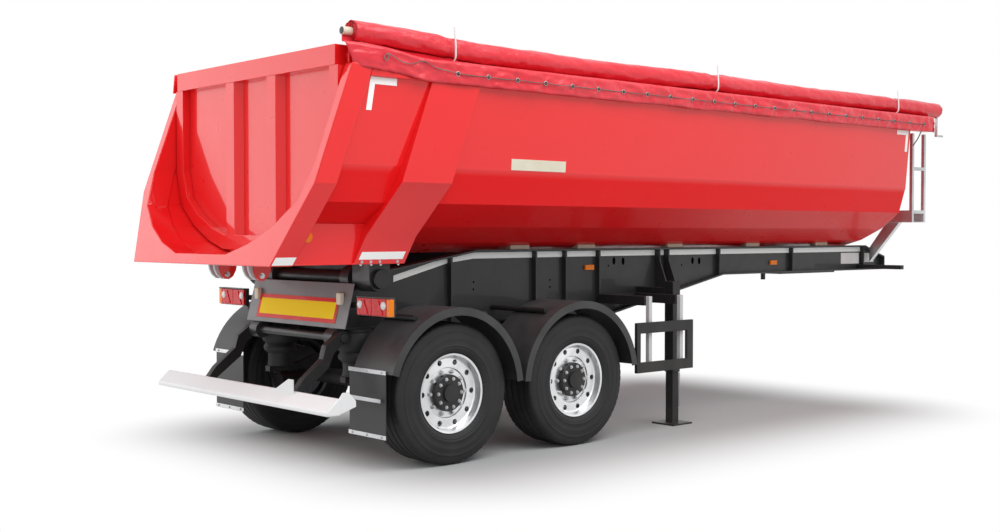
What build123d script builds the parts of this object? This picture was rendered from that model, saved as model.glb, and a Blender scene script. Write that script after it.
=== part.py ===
from build123d import *
import os

# A two-axle tipper semi-trailer with a half-round steel body, parked on its landing legs.
# Millimetres. +X is forward, +Y is the trailer's left, +Z is up, and the ground is z = 0.
# Every x below is measured forward of the rear axle; fwd() moves it into the model's frame,
# whose origin is on the ground under the middle of the whole trailer.

# Overall
REAR_OVERHANG = 1460
FRONT_REACH = 7120
HALF_WIDTH = 1275
RUN_CLEARANCE = 0.05
SEAT_CLEARANCE = 0.3

# Wheels and axles
AXLE_SPACING = 1310
AXLE_Z = 533
WHEEL_Y = 1027.5
TYRE_R = 533
TYRE_HALF = 192.5
SEAT_R = 285.75
FLANGE_R = 298.5
RIM_HALF = 162
DISC_OUT = 104
DISH_R = 184
HUB_R = 139
HUB_OUT = 135
CAP_R = 65
CAP_OUT = 155
DRUM_R = 215
HAND_HOLES = 10
HAND_HOLE_R = 21
HAND_HOLE_CIRCLE = 236
AXLE_R = 63.5
SPINDLE_R = 45
SPINDLE_END = 1130
HUB_BACK = 200

# Chassis beams
WEB_OUT = 530
WEB_T = 12
FLANGE_IN = 480
FLANGE_OUT = 590
FLANGE_T = 15
BEAM_TOP = 1588
BEAM_LOW = 1000
NECK_LOW = 1314
BEAM_FRONT = 6879
SLOPE_START = 770
STIFFENERS = (508, 1444, 1804, 2226, 3023, 3151, 3928, 5140, 6479)
STIFFENER_T = 16

# Tip hinge at the rear of the chassis
HINGE_X = -420
HINGE_Z = 1385
SHAFT_R = 55
SHAFT_END = 900
SHAFT_CAP_R = 75
SHAFT_CAP_T = 18
BOSS_R = 100
BEARING_IN = 640
BEARING_OUT = 860
BEARING_R = 95

# Rear valance, which leans, and the lamps
VALANCE_TOP = (-530, 1350)
VALANCE_LOW = (-616, 1015)
VALANCE_HALF = 700
VALANCE_T = 8
LAMP_IN = 800
LAMP_OUT = 1210
LAMP_LOW = 1122
LAMP_HIGH = 1262
LAMP_FRONT = -540
LAMP_DEPTH = 50

# Underrun guard, which folds up
UNDERRUN_X = -605
UNDERRUN_Z = 946
UNDERRUN_PIN_R = 30
UNDERRUN_BOSS_R = 50
ARM_IN = 600
ARM_OUT = 660
BAR_HALF = 1240

# Body section: half width and rise above the floor at each fold, from the floor up
FLOOR_Z = 1568
FOLDS = ((375, 0), (650, 80), (900, 204), (1112, 376), (1187, 638))
SEAM_FOLD = 3
WALL_TOP_HALF = 1240
WALL_T = 8
FRONT_WALL_X = 6300

# Rear end of the body: its planes lean forward by RAKE mm for each mm of height
RAKE = 0.364
LIP_Z = 1497
POST_DEPTH = 185
POST_TOP = 2900
SPOUT_HALF = 1180
RIB_START = 738
RIB_END = 1197
RIB_LOW = 1500
RIB_IN = 620

# Top rails, tarpaulin and its crank
RAIL_Z = 2820
RAIL_TOP = 2975
RAIL_PROUD = 30
RAIL_WIDTH = 120
RAIL_OUT = WALL_TOP_HALF + RAIL_PROUD
RAIL_IN = RAIL_OUT - RAIL_WIDTH
RAIL_FRONT = 6700
TARP_R = 85
TARP_Y = -RAIL_IN
TARP_Z = 3075
TARP_REAR = -760
TARP_FRONT = 6980
TARP_FLAP_LOW = 2832
TARP_T = 3.5
TUBE_R = 28
CRANK_Z = 2800

# Tailgate
GATE_X = -927
GATE_T = 8
GATE_DEPTH = 65
GATE_GAP = 12
GATE_LOW = 1600
GATE_HIGH = 2890
GATE_FRAME_W = 110
GATE_RIBS = (-300, 300)
GATE_RIB_W = 122
GATE_RIB_FLARE = 42
GATE_BEAM_TOP = 3033
GATE_BEAM_HALF = 1140
GATE_BEAM_REAR = -1005
GATE_BEAM_FRONT = -865
GATE_PIN_X = -890
GATE_PIN_Z = 2960
GATE_PIN_R = 20
EAR_IN = 1190
EAR_OUT = 1215
EAR_R = 50

# Hoist: five stages in a barrel between the chassis and the front wall
HOIST_BASE_X = 6780
HOIST_BASE_Z = 1380
HOIST_EYE_X = 6800
HOIST_EYE_Z = 2750
BARREL_R = 100
BARREL_BELOW = 90
BARREL_SHORT = 131
BARREL_FLOOR = 18
STAGE_WALL = 11.7
STAGES = 5
STAGE_STEP = 15
TRUNNION_R = 40
TRUNNION_HALF = 230
EYE_R = 55
EYE_HALF = 50


def fwd(x):
    """Model x of a place given forward of the rear axle."""
    return x + (REAR_OVERHANG - FRONT_REACH) / 2


def pair(side, inner, outer):
    """Low and high y of a band between two distances from the middle, on one side."""
    return (inner, outer) if side > 0 else (-outer, -inner)


def side_prism(points, y_low, y_high, mode=Mode.ADD):
    """Add an outline of (x, z) points, given forward of the axle, extruded across the trailer."""
    with BuildSketch(Plane.XZ.offset(-y_high)) as outline:
        with BuildLine():
            Polyline(*[(fwd(x), z) for x, z in points], close=True)
        make_face()
    extrude(outline.sketch, amount=y_high - y_low, dir=(0, -1, 0), mode=mode)


def cross_prism(points, x_low, x_high, mode=Mode.ADD):
    """Add an outline of (y, z) points extruded along the trailer."""
    with BuildSketch(Plane.YZ.offset(fwd(x_low))) as outline:
        with BuildLine():
            Polyline(*points, close=True)
        make_face()
    extrude(outline.sketch, amount=x_high - x_low, dir=(1, 0, 0), mode=mode)


def block(x_low, x_high, y_low, y_high, z_low, z_high, mode=Mode.ADD):
    """Add a box between two corners."""
    middle = (fwd((x_low + x_high) / 2), (y_low + y_high) / 2, (z_low + z_high) / 2)
    with Locations(middle):
        Box(x_high - x_low, y_high - y_low, z_high - z_low, mode=mode)


def rod_across(x, z, radius, y_low, y_high, mode=Mode.ADD):
    """Add a round bar across the trailer."""
    with Locations(Location((fwd(x), (y_low + y_high) / 2, z), (90, 0, 0))):
        Cylinder(radius, y_high - y_low, mode=mode)


def rod_along(y, z, radius, x_low, x_high, mode=Mode.ADD):
    """Add a round bar along the trailer."""
    with Locations(Location((fwd((x_low + x_high) / 2), y, z), (0, 90, 0))):
        Cylinder(radius, x_high - x_low, mode=mode)


def rod_up(x, y, radius, z_low, z_high, mode=Mode.ADD):
    """Add an upright round bar."""
    with Locations((fwd(x), y, (z_low + z_high) / 2)):
        Cylinder(radius, z_high - z_low, mode=mode)


def mirrored(half):
    """A closed outline from its points at positive y, listed from the bottom up."""
    return list(half) + [(-y, z) for y, z in reversed(half)]


def trough_section(top):
    """The body's outer section, its walls carried on straight up to a height."""
    low = [(y, FLOOR_Z + rise) for y, rise in FOLDS]
    (y0, z0), y1 = low[-1], WALL_TOP_HALF
    lean = (y1 - y0) / (RAIL_Z - z0)
    return mirrored(low + [(y0 + lean * (top - z0), top)])


def rear_plane(distance):
    """The leaning plane a distance forward of the rear lip, facing forward."""
    return Plane(origin=(fwd(-REAR_OVERHANG + distance), 0, LIP_Z), x_dir=(0, 1, 0), z_dir=(1, 0, -RAKE))


def raked_x(distance, z):
    """The x at a height on the leaning plane a distance forward of the rear lip."""
    return distance - REAR_OVERHANG + RAKE * (z - LIP_Z)


def spout_prism(gap, z_low, z_high, x_low, x_high, mode=Mode.ADD):
    """Add the space inside the rear opening, drawn in by a gap and cut between two heights."""
    with BuildSketch(Plane.YZ.offset(fwd(x_low))) as inside:
        with BuildLine():
            Polyline(*trough_section(z_high + 2 * (WALL_T + gap)), close=True)
        make_face()
        offset(amount=-(WALL_T + gap), kind=Kind.INTERSECTION, mode=Mode.REPLACE)
        with Locations((0, (z_low + z_high) / 2)):
            Rectangle(2 * (SPOUT_HALF - gap), z_high - z_low, mode=Mode.INTERSECT)
    extrude(inside.sketch, amount=x_high - x_low, dir=(1, 0, 0), mode=mode)


def edge_z(points, x):
    """Height of a beam edge at x, between its listed points."""
    for (x0, z0), (x1, z1) in zip(points, points[1:]):
        if x0 <= x <= x1:
            return z0 + (z1 - z0) * (x - x0) / (x1 - x0)


def save(builder, name):
    """Label a finished piece and write it."""
    builder.part.label = name
    export_step(builder.part, f"parts/{name}.step")


os.makedirs("parts", exist_ok=True)

# Chassis beams, left and right: web, flange all round, stiffeners, hinge boss, hangers and guard lugs
AXLES = (0, AXLE_SPACING)
VALANCE_LEAN = (VALANCE_TOP[0] - VALANCE_LOW[0]) / (VALANCE_TOP[1] - VALANCE_LOW[1])
BEAM_REAR_LOW = (VALANCE_LOW[0] - VALANCE_LEAN * (VALANCE_LOW[1] - BEAM_LOW), BEAM_LOW)
NOSE_DROPS = ((6488, 0), (6713, 77), (BEAM_FRONT, 124))
TOP_EDGE = [VALANCE_TOP, (HINGE_X + 20, HINGE_Z + 15), (SLOPE_START, BEAM_TOP)]
TOP_EDGE += [(x, BEAM_TOP - drop) for x, drop in NOSE_DROPS]
LOW_EDGE = [BEAM_REAR_LOW, (2400, BEAM_LOW), (3967, NECK_LOW), (BEAM_FRONT, NECK_LOW)]
BEAM_OUTLINE = TOP_EDGE + LOW_EDGE[::-1]
HANGER_X = 500
HANGER_HALF = 70
HANGER_LOW = 640
HANGER_T = 18
ARM_EYE_Z = 700
ARM_EYE_R = 55
ARM_PIN_R = 20

for side, word in ((1, "left"), (-1, "right")):
    flange = pair(side, FLANGE_IN, FLANGE_OUT)
    with BuildPart() as beam:
        with BuildSketch(Plane.XZ.offset(-flange[1])) as ring:
            with BuildLine():
                Polyline(*[(fwd(x), z) for x, z in BEAM_OUTLINE], close=True)
            make_face()
            offset(amount=-FLANGE_T, kind=Kind.INTERSECTION, mode=Mode.SUBTRACT)
        extrude(amount=FLANGE_OUT - FLANGE_IN)
        side_prism(BEAM_OUTLINE, *pair(side, WEB_OUT - WEB_T, WEB_OUT))
        for x in STIFFENERS:
            block(x - STIFFENER_T / 2, x + STIFFENER_T / 2, *pair(side, WEB_OUT, FLANGE_OUT - FLANGE_T),
                  edge_z(LOW_EDGE, x), edge_z(TOP_EDGE, x) - FLANGE_T / 2)
        for x, z, radius, bore in ((HINGE_X, HINGE_Z, BOSS_R, SHAFT_R),
                                   (UNDERRUN_X, UNDERRUN_Z, UNDERRUN_BOSS_R + FLANGE_T, UNDERRUN_PIN_R)):
            rod_across(x, z, radius, *flange)
            rod_across(x, z, bore + SEAT_CLEARANCE, *flange, mode=Mode.SUBTRACT)
        for axle in AXLES:
            for near, far in ((FLANGE_IN, FLANGE_IN + HANGER_T), (FLANGE_OUT - HANGER_T, FLANGE_OUT)):
                block(axle + HANGER_X - HANGER_HALF, axle + HANGER_X + HANGER_HALF, *pair(side, near, far),
                      HANGER_LOW, BEAM_LOW + FLANGE_T)
            rod_across(axle + HANGER_X, ARM_EYE_Z, ARM_PIN_R, *flange)
    save(beam, f"beam_{word}")

# Cross members between the webs: x, low z and high z of each
CROSS_MEMBERS = ((-480, 1050, 1170), (280, 1080, 1230), (1660, 1080, 1230), (2600, 1150, 1300),
                 (3700, 1340, 1440), (4700, 1340, 1440))
CROSS_HALF = 45
with BuildPart() as cross_members:
    for x, low, high in CROSS_MEMBERS:
        block(x - CROSS_HALF, x + CROSS_HALF, -WEB_OUT + WEB_T, WEB_OUT - WEB_T, low, high)
    rod_across(UNDERRUN_X, UNDERRUN_Z, UNDERRUN_PIN_R, -ARM_OUT - FLANGE_T, ARM_OUT + FLANGE_T)
save(cross_members, "cross_members")

# Shaft that the body tips on, with a cap at each end
with BuildPart() as hinge_shaft:
    rod_across(HINGE_X, HINGE_Z, SHAFT_R, -SHAFT_END, SHAFT_END)
    for side in (1, -1):
        rod_across(HINGE_X, HINGE_Z, SHAFT_CAP_R, *pair(side, SHAFT_END - SHAFT_CAP_T, SHAFT_END))
save(hinge_shaft, "hinge_shaft")

# Rest pads on the beams, shaped to the underside of the body
PADS = (1250, 2050, 3250, 4450, 5650)
PAD_HALF = 110
PAD_IN = 500
PAD_OUT = 580


def under_body(y):
    """Height of the body's underside at a distance from the middle, between its first two folds."""
    (y0, rise0), (y1, rise1) = FOLDS[0], FOLDS[1]
    return FLOOR_Z + rise0 + (rise1 - rise0) * (y - y0) / (y1 - y0)


with BuildPart() as rest_pads:
    for x in PADS:
        for side in (1, -1):
            tops = [(side * y, under_body(y) - SEAT_CLEARANCE) for y in (PAD_OUT, PAD_IN)]
            cross_prism([(side * PAD_IN, BEAM_TOP), (side * PAD_OUT, BEAM_TOP)] + tops,
                        x - PAD_HALF, x + PAD_HALF)
save(rest_pads, "rest_pads")

# Coupling plate under the neck, with its king pin
COUPLING_X = 5400
COUPLING_HALF_LENGTH = 480
COUPLING_T = 14
KING_PIN_R = 25.4
KING_PIN_LENGTH = 84
with BuildPart() as coupling_plate:
    block(COUPLING_X - COUPLING_HALF_LENGTH, COUPLING_X + COUPLING_HALF_LENGTH, -FLANGE_OUT, FLANGE_OUT,
          NECK_LOW - COUPLING_T, NECK_LOW)
    rod_up(COUPLING_X, 0, KING_PIN_R, NECK_LOW - COUPLING_T - KING_PIN_LENGTH, NECK_LOW - COUPLING_T)
save(coupling_plate, "coupling_plate")

# Cradle that carries the hoist's trunnions
CRADLE_IN = 160
CRADLE_OUT = 200
CRADLE_LOW = 1335
CRADLE_HIGH = 1445
CRADLE_REAR = 6520
CRADLE_FRONT = BEAM_FRONT
CRADLE_BEAM_HALF = 40
with BuildPart() as hoist_cradle:
    block(CRADLE_REAR - CRADLE_BEAM_HALF, CRADLE_REAR + CRADLE_BEAM_HALF, -WEB_OUT + WEB_T, WEB_OUT - WEB_T,
          CRADLE_LOW, CRADLE_HIGH)
    for side in (1, -1):
        plate = pair(side, CRADLE_IN, CRADLE_OUT)
        block(CRADLE_REAR, CRADLE_FRONT, *plate, CRADLE_LOW, CRADLE_HIGH)
        rod_across(HOIST_BASE_X, HOIST_BASE_Z, TRUNNION_R + RUN_CLEARANCE, *plate, mode=Mode.SUBTRACT)
save(hoist_cradle, "hoist_cradle")

# Rear valance and the hazard board on it
BOARD_HALF = 560
BOARD_LOW = 1050
BOARD_HIGH = 1235
BOARD_T = 4


def leaning_plate(low, high, start, thick):
    """Outline of a plate parallel to the valance, its front face a distance behind the beam ends."""
    x_low, x_high = [VALANCE_LOW[0] + VALANCE_LEAN * (z - VALANCE_LOW[1]) - start for z in (low, high)]
    return [(x_low, low), (x_high, high), (x_high - thick, high), (x_low - thick, low)]


with BuildPart() as rear_valance:
    side_prism(leaning_plate(VALANCE_LOW[1], VALANCE_TOP[1], 0, VALANCE_T), -VALANCE_HALF, VALANCE_HALF)
save(rear_valance, "rear_valance")

with BuildPart() as hazard_board:
    side_prism(leaning_plate(BOARD_LOW, BOARD_HIGH, VALANCE_T, BOARD_T), -BOARD_HALF, BOARD_HALF)
save(hazard_board, "hazard_board")

# Tail lamps on their bars, and amber marker lamps on the webs
LAMP_BAR = 40
LAMP_BAR_Z = 1190
MARKERS = (2123, 4845)
MARKER_Z = 1420
MARKER_HALF = (55, 22)
MARKER_T = 18
with BuildPart() as tail_lamps:
    for side in (1, -1):
        block(LAMP_FRONT - LAMP_DEPTH, LAMP_FRONT, *pair(side, LAMP_IN, LAMP_OUT), LAMP_LOW, LAMP_HIGH)
save(tail_lamps, "tail_lamps")

with BuildPart() as marker_lamps:
    for x in MARKERS:
        for side in (1, -1):
            block(x - MARKER_HALF[0], x + MARKER_HALF[0], *pair(side, WEB_OUT, WEB_OUT + MARKER_T),
                  MARKER_Z - MARKER_HALF[1], MARKER_Z + MARKER_HALF[1])
save(marker_lamps, "marker_lamps")

# Black carriers that stand out from the webs: lamp bars, side guard arms, leg boxes, front bar, guard stays
GUARD_REAR = AXLE_SPACING + 720
GUARD_POSTS = (GUARD_REAR + 205, 2645)
POST_IN = 1130
POST_OUT = 1170
ARM_LOW = 1100
ARM_HIGH = 1180
LEG_X = 2800
LEG_Y = 930
LEG_HALF = 50
FRONT_BAR_X = 6430
FRONT_BAR_OUT = 1080
MUDGUARD_R = 645
MUDGUARD_T = 6
STAY_R = 21
STAY_X = 333
STAY_OUT = 1180
STAY_Z = AXLE_Z + ((MUDGUARD_R + STAY_R + SEAT_CLEARANCE) ** 2 - STAY_X ** 2) ** 0.5
with BuildPart() as carriers:
    for side in (1, -1):
        block(LAMP_FRONT, LAMP_FRONT + LAMP_BAR, *pair(side, WEB_OUT, LAMP_OUT - LAMP_BAR),
              LAMP_BAR_Z - LAMP_BAR / 2, LAMP_BAR_Z + LAMP_BAR / 2)
        for x in GUARD_POSTS:
            block(x - LAMP_BAR, x + LAMP_BAR, *pair(side, FLANGE_OUT, POST_IN), ARM_LOW, ARM_HIGH)
        block(GUARD_POSTS[0], LEG_X + LEG_HALF, *pair(side, FLANGE_OUT, FLANGE_OUT + LEG_HALF), ARM_LOW, ARM_HIGH)
        block(LEG_X - LEG_HALF, LEG_X + LEG_HALF, *pair(side, WEB_OUT, LEG_Y - LEG_HALF),
              ARM_LOW + LAMP_BAR / 2, ARM_HIGH + LEG_HALF)
        block(FRONT_BAR_X - 30, FRONT_BAR_X + 30, *pair(side, WEB_OUT, FRONT_BAR_OUT),
              NECK_LOW + FLANGE_T, NECK_LOW + FLANGE_T + 45)
        for axle in AXLES:
            for x in (axle - STAY_X, axle + STAY_X):
                rod_across(x, STAY_Z, STAY_R, *pair(side, WEB_OUT, STAY_OUT))
save(carriers, "carriers")

# Axles with their spring seats and brake chambers
SEAT_HALF = 60
TRAIL_IN = 502
TRAIL_OUT = 568
CHAMBER_R = 75
CHAMBER_Y = 690
CHAMBER_Z = 480
with BuildPart() as axles:
    for axle in AXLES:
        rod_across(axle, AXLE_Z, AXLE_R, -WHEEL_Y + HUB_BACK + 30, WHEEL_Y - HUB_BACK - 30)
        rod_across(axle, AXLE_Z, SPINDLE_R, -SPINDLE_END, SPINDLE_END)
        for side in (1, -1):
            block(axle - SEAT_HALF, axle + SEAT_HALF, *pair(side, TRAIL_IN, TRAIL_OUT), AXLE_Z, AXLE_Z + AXLE_R)
            block(axle - 150, axle, *pair(side, CHAMBER_Y - 12, CHAMBER_Y + 12), CHAMBER_Z - 40, AXLE_Z)
            rod_along(side * CHAMBER_Y, CHAMBER_Z, CHAMBER_R, axle - 330, axle - 140)
save(axles, "axles")

# Trailing arms and the air springs behind the axles
SPRING_X = -410
SPRING_R = 130
PISTON_R = 85
SPRING_SEAT_Z = 640
ARM_LOW_Z = AXLE_Z + AXLE_R
TRAIL_ARM = ((-530, ARM_LOW_Z), (120, ARM_LOW_Z), (480, ARM_EYE_Z - ARM_EYE_R), (480, ARM_EYE_Z + ARM_EYE_R),
             (120, 720), (-120, 700), (-280, SPRING_SEAT_Z), (-530, SPRING_SEAT_Z))
with BuildPart() as trailing_arms:
    for axle in AXLES:
        for side in (1, -1):
            band = pair(side, TRAIL_IN, TRAIL_OUT)
            side_prism([(axle + x, z) for x, z in TRAIL_ARM], *band)
            rod_across(axle + HANGER_X, ARM_EYE_Z, ARM_EYE_R, *band)
            rod_across(axle + HANGER_X, ARM_EYE_Z, ARM_PIN_R + SEAT_CLEARANCE, *band, mode=Mode.SUBTRACT)
save(trailing_arms, "trailing_arms")

# Low radius, high radius, low z and high z of each band of an air spring, from its piston up to its bag
SPRING_BANDS = (
    (PISTON_R + 15, PISTON_R, SPRING_SEAT_Z, 740), (PISTON_R, SPRING_R, 740, 790),
    (SPRING_R, SPRING_R - 8, 790, 950), (SPRING_R - 8, SPRING_R - 30, 950, BEAM_LOW),
)
with BuildPart() as air_springs:
    for axle in AXLES:
        for side in (1, -1):
            for low_r, high_r, z_low, z_high in SPRING_BANDS:
                with Locations((fwd(axle + SPRING_X), side * (TRAIL_IN + TRAIL_OUT) / 2, (z_low + z_high) / 2)):
                    Cone(low_r, high_r, z_high - z_low)
save(air_springs, "air_springs")

# Mudguards: x of the axle, start and end angle above the front horizontal
MUDGUARDS = ((0, 5, 163), (AXLE_SPACING, 8, 176))
MUDGUARD_IN = 800
LIP_R = 585
with BuildPart() as mudguards:
    for axle, start, end in MUDGUARDS:
        for inner, outer_r, low_r in ((MUDGUARD_IN, MUDGUARD_R, MUDGUARD_R - MUDGUARD_T),
                                      (HALF_WIDTH - MUDGUARD_T, MUDGUARD_R, LIP_R)):
            with BuildSketch(Plane.XZ.offset(-HALF_WIDTH)) as arch:
                with BuildLine():
                    outside = CenterArc((fwd(axle), AXLE_Z), outer_r, start, end - start)
                    inside = CenterArc((fwd(axle), AXLE_Z), low_r, start, end - start)
                    Line(outside @ 0, inside @ 0)
                    Line(outside @ 1, inside @ 1)
                make_face()
            extrude(amount=HALF_WIDTH - inner)
    mirror(about=Plane.XZ)
save(mudguards, "mudguards")

# Mud flaps hung at the back end of the rear mudguards
FLAP_IN = 760
FLAP_OUT = 1200
FLAP_LOW = 250
FLAP_HIGH = 735
FLAP_T = 8
FLAP_X = -617.2
with BuildPart() as mud_flaps:
    for side in (1, -1):
        block(FLAP_X - FLAP_T, FLAP_X, *pair(side, FLAP_IN, FLAP_OUT), FLAP_LOW, FLAP_HIGH)
save(mud_flaps, "mud_flaps")

# Landing legs: outer tube, inner tube and foot
LEG_TOP = 1290
LEG_SPLIT = 470
INNER_LEG_HALF = 42
FOOT_HALF = 130
FOOT_T = 15
with BuildPart() as landing_legs:
    for side in (1, -1):
        block(LEG_X - LEG_HALF, LEG_X + LEG_HALF, *pair(side, LEG_Y - LEG_HALF, LEG_Y + LEG_HALF),
              LEG_SPLIT, LEG_TOP)
save(landing_legs, "landing_legs")

with BuildPart() as landing_feet:
    for side in (1, -1):
        block(LEG_X - INNER_LEG_HALF, LEG_X + INNER_LEG_HALF,
              *pair(side, LEG_Y - INNER_LEG_HALF, LEG_Y + INNER_LEG_HALF), 0, LEG_SPLIT)
        block(LEG_X - FOOT_HALF, LEG_X + FOOT_HALF, *pair(side, LEG_Y - FOOT_HALF, LEG_Y + FOOT_HALF), 0, FOOT_T)
save(landing_feet, "landing_feet")

# Side guard frames and the posts that carry them
GUARD = (GUARD_REAR, 2770, 530, 960)
GUARD_OPEN = (GUARD_REAR + 50, 2685, 620, 867)
GUARD_T = 30
POST_HALF = 20
POST_LOW = 600
with BuildPart() as side_guards:
    for side in (1, -1):
        band = pair(side, POST_OUT, POST_OUT + GUARD_T)
        block(GUARD[0], GUARD[1], *band, GUARD[2], GUARD[3])
        block(GUARD_OPEN[0], GUARD_OPEN[1], *band, GUARD_OPEN[2], GUARD_OPEN[3], mode=Mode.SUBTRACT)
save(side_guards, "side_guards")

with BuildPart() as guard_posts:
    for side in (1, -1):
        for x in GUARD_POSTS:
            block(x - POST_HALF, x + POST_HALF, *pair(side, POST_IN, POST_OUT), POST_LOW, ARM_HIGH)
save(guard_posts, "guard_posts")

# Front platform with its ladder posts and the bracket below
STEP_REAR = 6450
STEP_FRONT = 6725
STEP_OUT = -1180
STEP_IN = -350
STEP_LOW = 1840
STEP_HIGH = 1970
STEP_T = 6
LADDER_HALF = 18
LADDER_TOP = 2800
RUNG_Z = 2420
BRACKET_X = 6590
BRACKET_HALF = 30
with BuildPart() as platform:
    block(STEP_REAR, STEP_FRONT, STEP_OUT, STEP_IN, STEP_LOW, STEP_LOW + STEP_T)
    for x in (STEP_REAR, STEP_FRONT - STEP_T):
        block(x, x + STEP_T, STEP_OUT, STEP_IN, STEP_LOW, STEP_HIGH)
    for x in (STEP_REAR + LADDER_HALF, STEP_FRONT - LADDER_HALF):
        block(x - LADDER_HALF, x + LADDER_HALF, STEP_OUT, STEP_OUT + 2 * LADDER_HALF, STEP_LOW, LADDER_TOP)
    for z in (STEP_HIGH - LADDER_HALF, RUNG_Z):
        block(STEP_REAR, STEP_FRONT, STEP_OUT, STEP_OUT + 2 * LADDER_HALF, z - LADDER_HALF, z + LADDER_HALF)
    cross_prism([(-FLANGE_OUT, 1400), (-FLANGE_OUT, 1560), (-800, STEP_LOW), (-960, STEP_LOW)],
                BRACKET_X - BRACKET_HALF, BRACKET_X + BRACKET_HALF)
save(platform, "platform")

# Body: floor pan and side walls, joined along the seam fold
SEAM_Z = FLOOR_Z + FOLDS[SEAM_FOLD][1]
for word, keep_side in (("floor_pan", None), ("side_wall_left", Keep.BOTTOM), ("side_wall_right", Keep.TOP)):
    with BuildPart() as shell:
        with BuildSketch(Plane.YZ.offset(fwd(-REAR_OVERHANG))) as section:
            with BuildLine():
                Polyline(*trough_section(RAIL_Z + 2 * WALL_T), close=True)
            make_face()
            offset(amount=-WALL_T, kind=Kind.INTERSECTION, mode=Mode.SUBTRACT)
        extrude(amount=FRONT_WALL_X - WALL_T + REAR_OVERHANG)
        split(bisect_by=rear_plane(POST_DEPTH), keep=Keep.TOP)
        split(bisect_by=Plane.XY.offset(RAIL_Z), keep=Keep.BOTTOM)
        split(bisect_by=Plane.XY.offset(SEAM_Z), keep=Keep.TOP if keep_side else Keep.BOTTOM)
        if keep_side:
            split(bisect_by=Plane.XZ, keep=keep_side)
    save(shell, word)

# Front wall with its header, two upright ribs and the ears for the hoist's eye
HEADER_DEPTH = 50
WALL_RIB_Y = 500
WALL_RIB_HALF = 60
HOIST_EAR_IN = 62
HOIST_EAR_OUT = 88
HOIST_EAR_R = 60
HOIST_PIN_R = 30
with BuildPart() as front_wall:
    cross_prism(trough_section(RAIL_Z), FRONT_WALL_X - WALL_T, FRONT_WALL_X)
    block(FRONT_WALL_X - WALL_T, FRONT_WALL_X + HEADER_DEPTH, -RAIL_IN, RAIL_IN, RAIL_Z, RAIL_TOP)
    for side in (1, -1):
        block(FRONT_WALL_X, FRONT_WALL_X + HEADER_DEPTH,
              *pair(side, WALL_RIB_Y - WALL_RIB_HALF, WALL_RIB_Y + WALL_RIB_HALF), FLOOR_Z + 80, RAIL_Z)
        ear = pair(side, HOIST_EAR_IN, HOIST_EAR_OUT)
        block(FRONT_WALL_X, HOIST_EYE_X, *ear, HOIST_EYE_Z - HOIST_EAR_R, HOIST_EYE_Z + HOIST_EAR_R)
        rod_across(HOIST_EYE_X, HOIST_EYE_Z, HOIST_EAR_R, *ear)
        rod_across(HOIST_EYE_X, HOIST_EYE_Z, HOIST_PIN_R, *ear, mode=Mode.SUBTRACT)
save(front_wall, "front_wall")

# Rear frame round the spout, with the tailgate's hinge ears on the post tops
FRAME_OUTLINE = mirrored([(1020, LIP_Z), (WALL_TOP_HALF + 20, 2065), (RAIL_OUT, POST_TOP)])
with BuildPart() as rear_frame:
    cross_prism(FRAME_OUTLINE, -REAR_OVERHANG, 0)
    spout_prism(0, FLOOR_Z, POST_TOP + EAR_R, -REAR_OVERHANG, 0, mode=Mode.SUBTRACT)
    split(bisect_by=rear_plane(0), keep=Keep.TOP)
    split(bisect_by=rear_plane(POST_DEPTH), keep=Keep.BOTTOM)
    for side in (1, -1):
        ear = pair(side, EAR_IN, EAR_OUT)
        block(GATE_PIN_X - EAR_R, GATE_PIN_X + EAR_R, *ear, POST_TOP - EAR_R / 2, GATE_PIN_Z)
        rod_across(GATE_PIN_X, GATE_PIN_Z, EAR_R, *ear)
        rod_across(GATE_PIN_X, GATE_PIN_Z, GATE_PIN_R + RUN_CLEARANCE, *ear, mode=Mode.SUBTRACT)
save(rear_frame, "rear_frame")

# Wide box ribs ahead of the rear frame, and the base plates that join them to its posts
BASE_T = 8
BASE_OUT = 960
RIB_OUTLINE = mirrored([(950, RIB_LOW), (1000, 1700), (WALL_TOP_HALF + 10, 2090), (WALL_TOP_HALF + 22, RAIL_Z)])
with BuildPart() as wide_ribs:
    cross_prism(RIB_OUTLINE, -REAR_OVERHANG, SLOPE_START)
    cross_prism(trough_section(RAIL_Z + WALL_T), -REAR_OVERHANG, SLOPE_START, mode=Mode.SUBTRACT)
    block(-REAR_OVERHANG, SLOPE_START, -RIB_IN, RIB_IN, 0, RAIL_Z, mode=Mode.SUBTRACT)
    split(bisect_by=rear_plane(RIB_START), keep=Keep.TOP)
    split(bisect_by=rear_plane(RIB_END), keep=Keep.BOTTOM)
    for side in (1, -1):
        side_prism([(raked_x(POST_DEPTH, RIB_LOW), RIB_LOW), (raked_x(RIB_START + BASE_T, RIB_LOW), RIB_LOW),
                    (raked_x(RIB_START + BASE_T, RIB_LOW), RIB_LOW + BASE_T),
                    (raked_x(POST_DEPTH, RIB_LOW + BASE_T), RIB_LOW + BASE_T)], *pair(side, RIB_IN, BASE_OUT))
save(wide_ribs, "wide_ribs")

# Bearings under the wide ribs, round the hinge shaft
with BuildPart() as hinge_bearings:
    for side in (1, -1):
        band = pair(side, BEARING_IN, BEARING_OUT)
        block(HINGE_X - BEARING_R, HINGE_X + BEARING_R, *band, HINGE_Z, RIB_LOW)
        rod_across(HINGE_X, HINGE_Z, BEARING_R, *band)
        rod_across(HINGE_X, HINGE_Z, SHAFT_R + RUN_CLEARANCE, *band, mode=Mode.SUBTRACT)
save(hinge_bearings, "hinge_bearings")

# Latch hooks under the floor behind the tailgate
HOOKS = (-310, 190)
HOOK_OUTLINE = ((-1190, FLOOR_Z), (-1010, FLOOR_Z), (-1040, 1440), (-1085, 1372), (-1150, 1372), (-1172, 1425))
HOOK_HALF = 35
with BuildPart() as latch_hooks:
    for y in HOOKS:
        side_prism(HOOK_OUTLINE, y - HOOK_HALF, y + HOOK_HALF)
save(latch_hooks, "latch_hooks")

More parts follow.
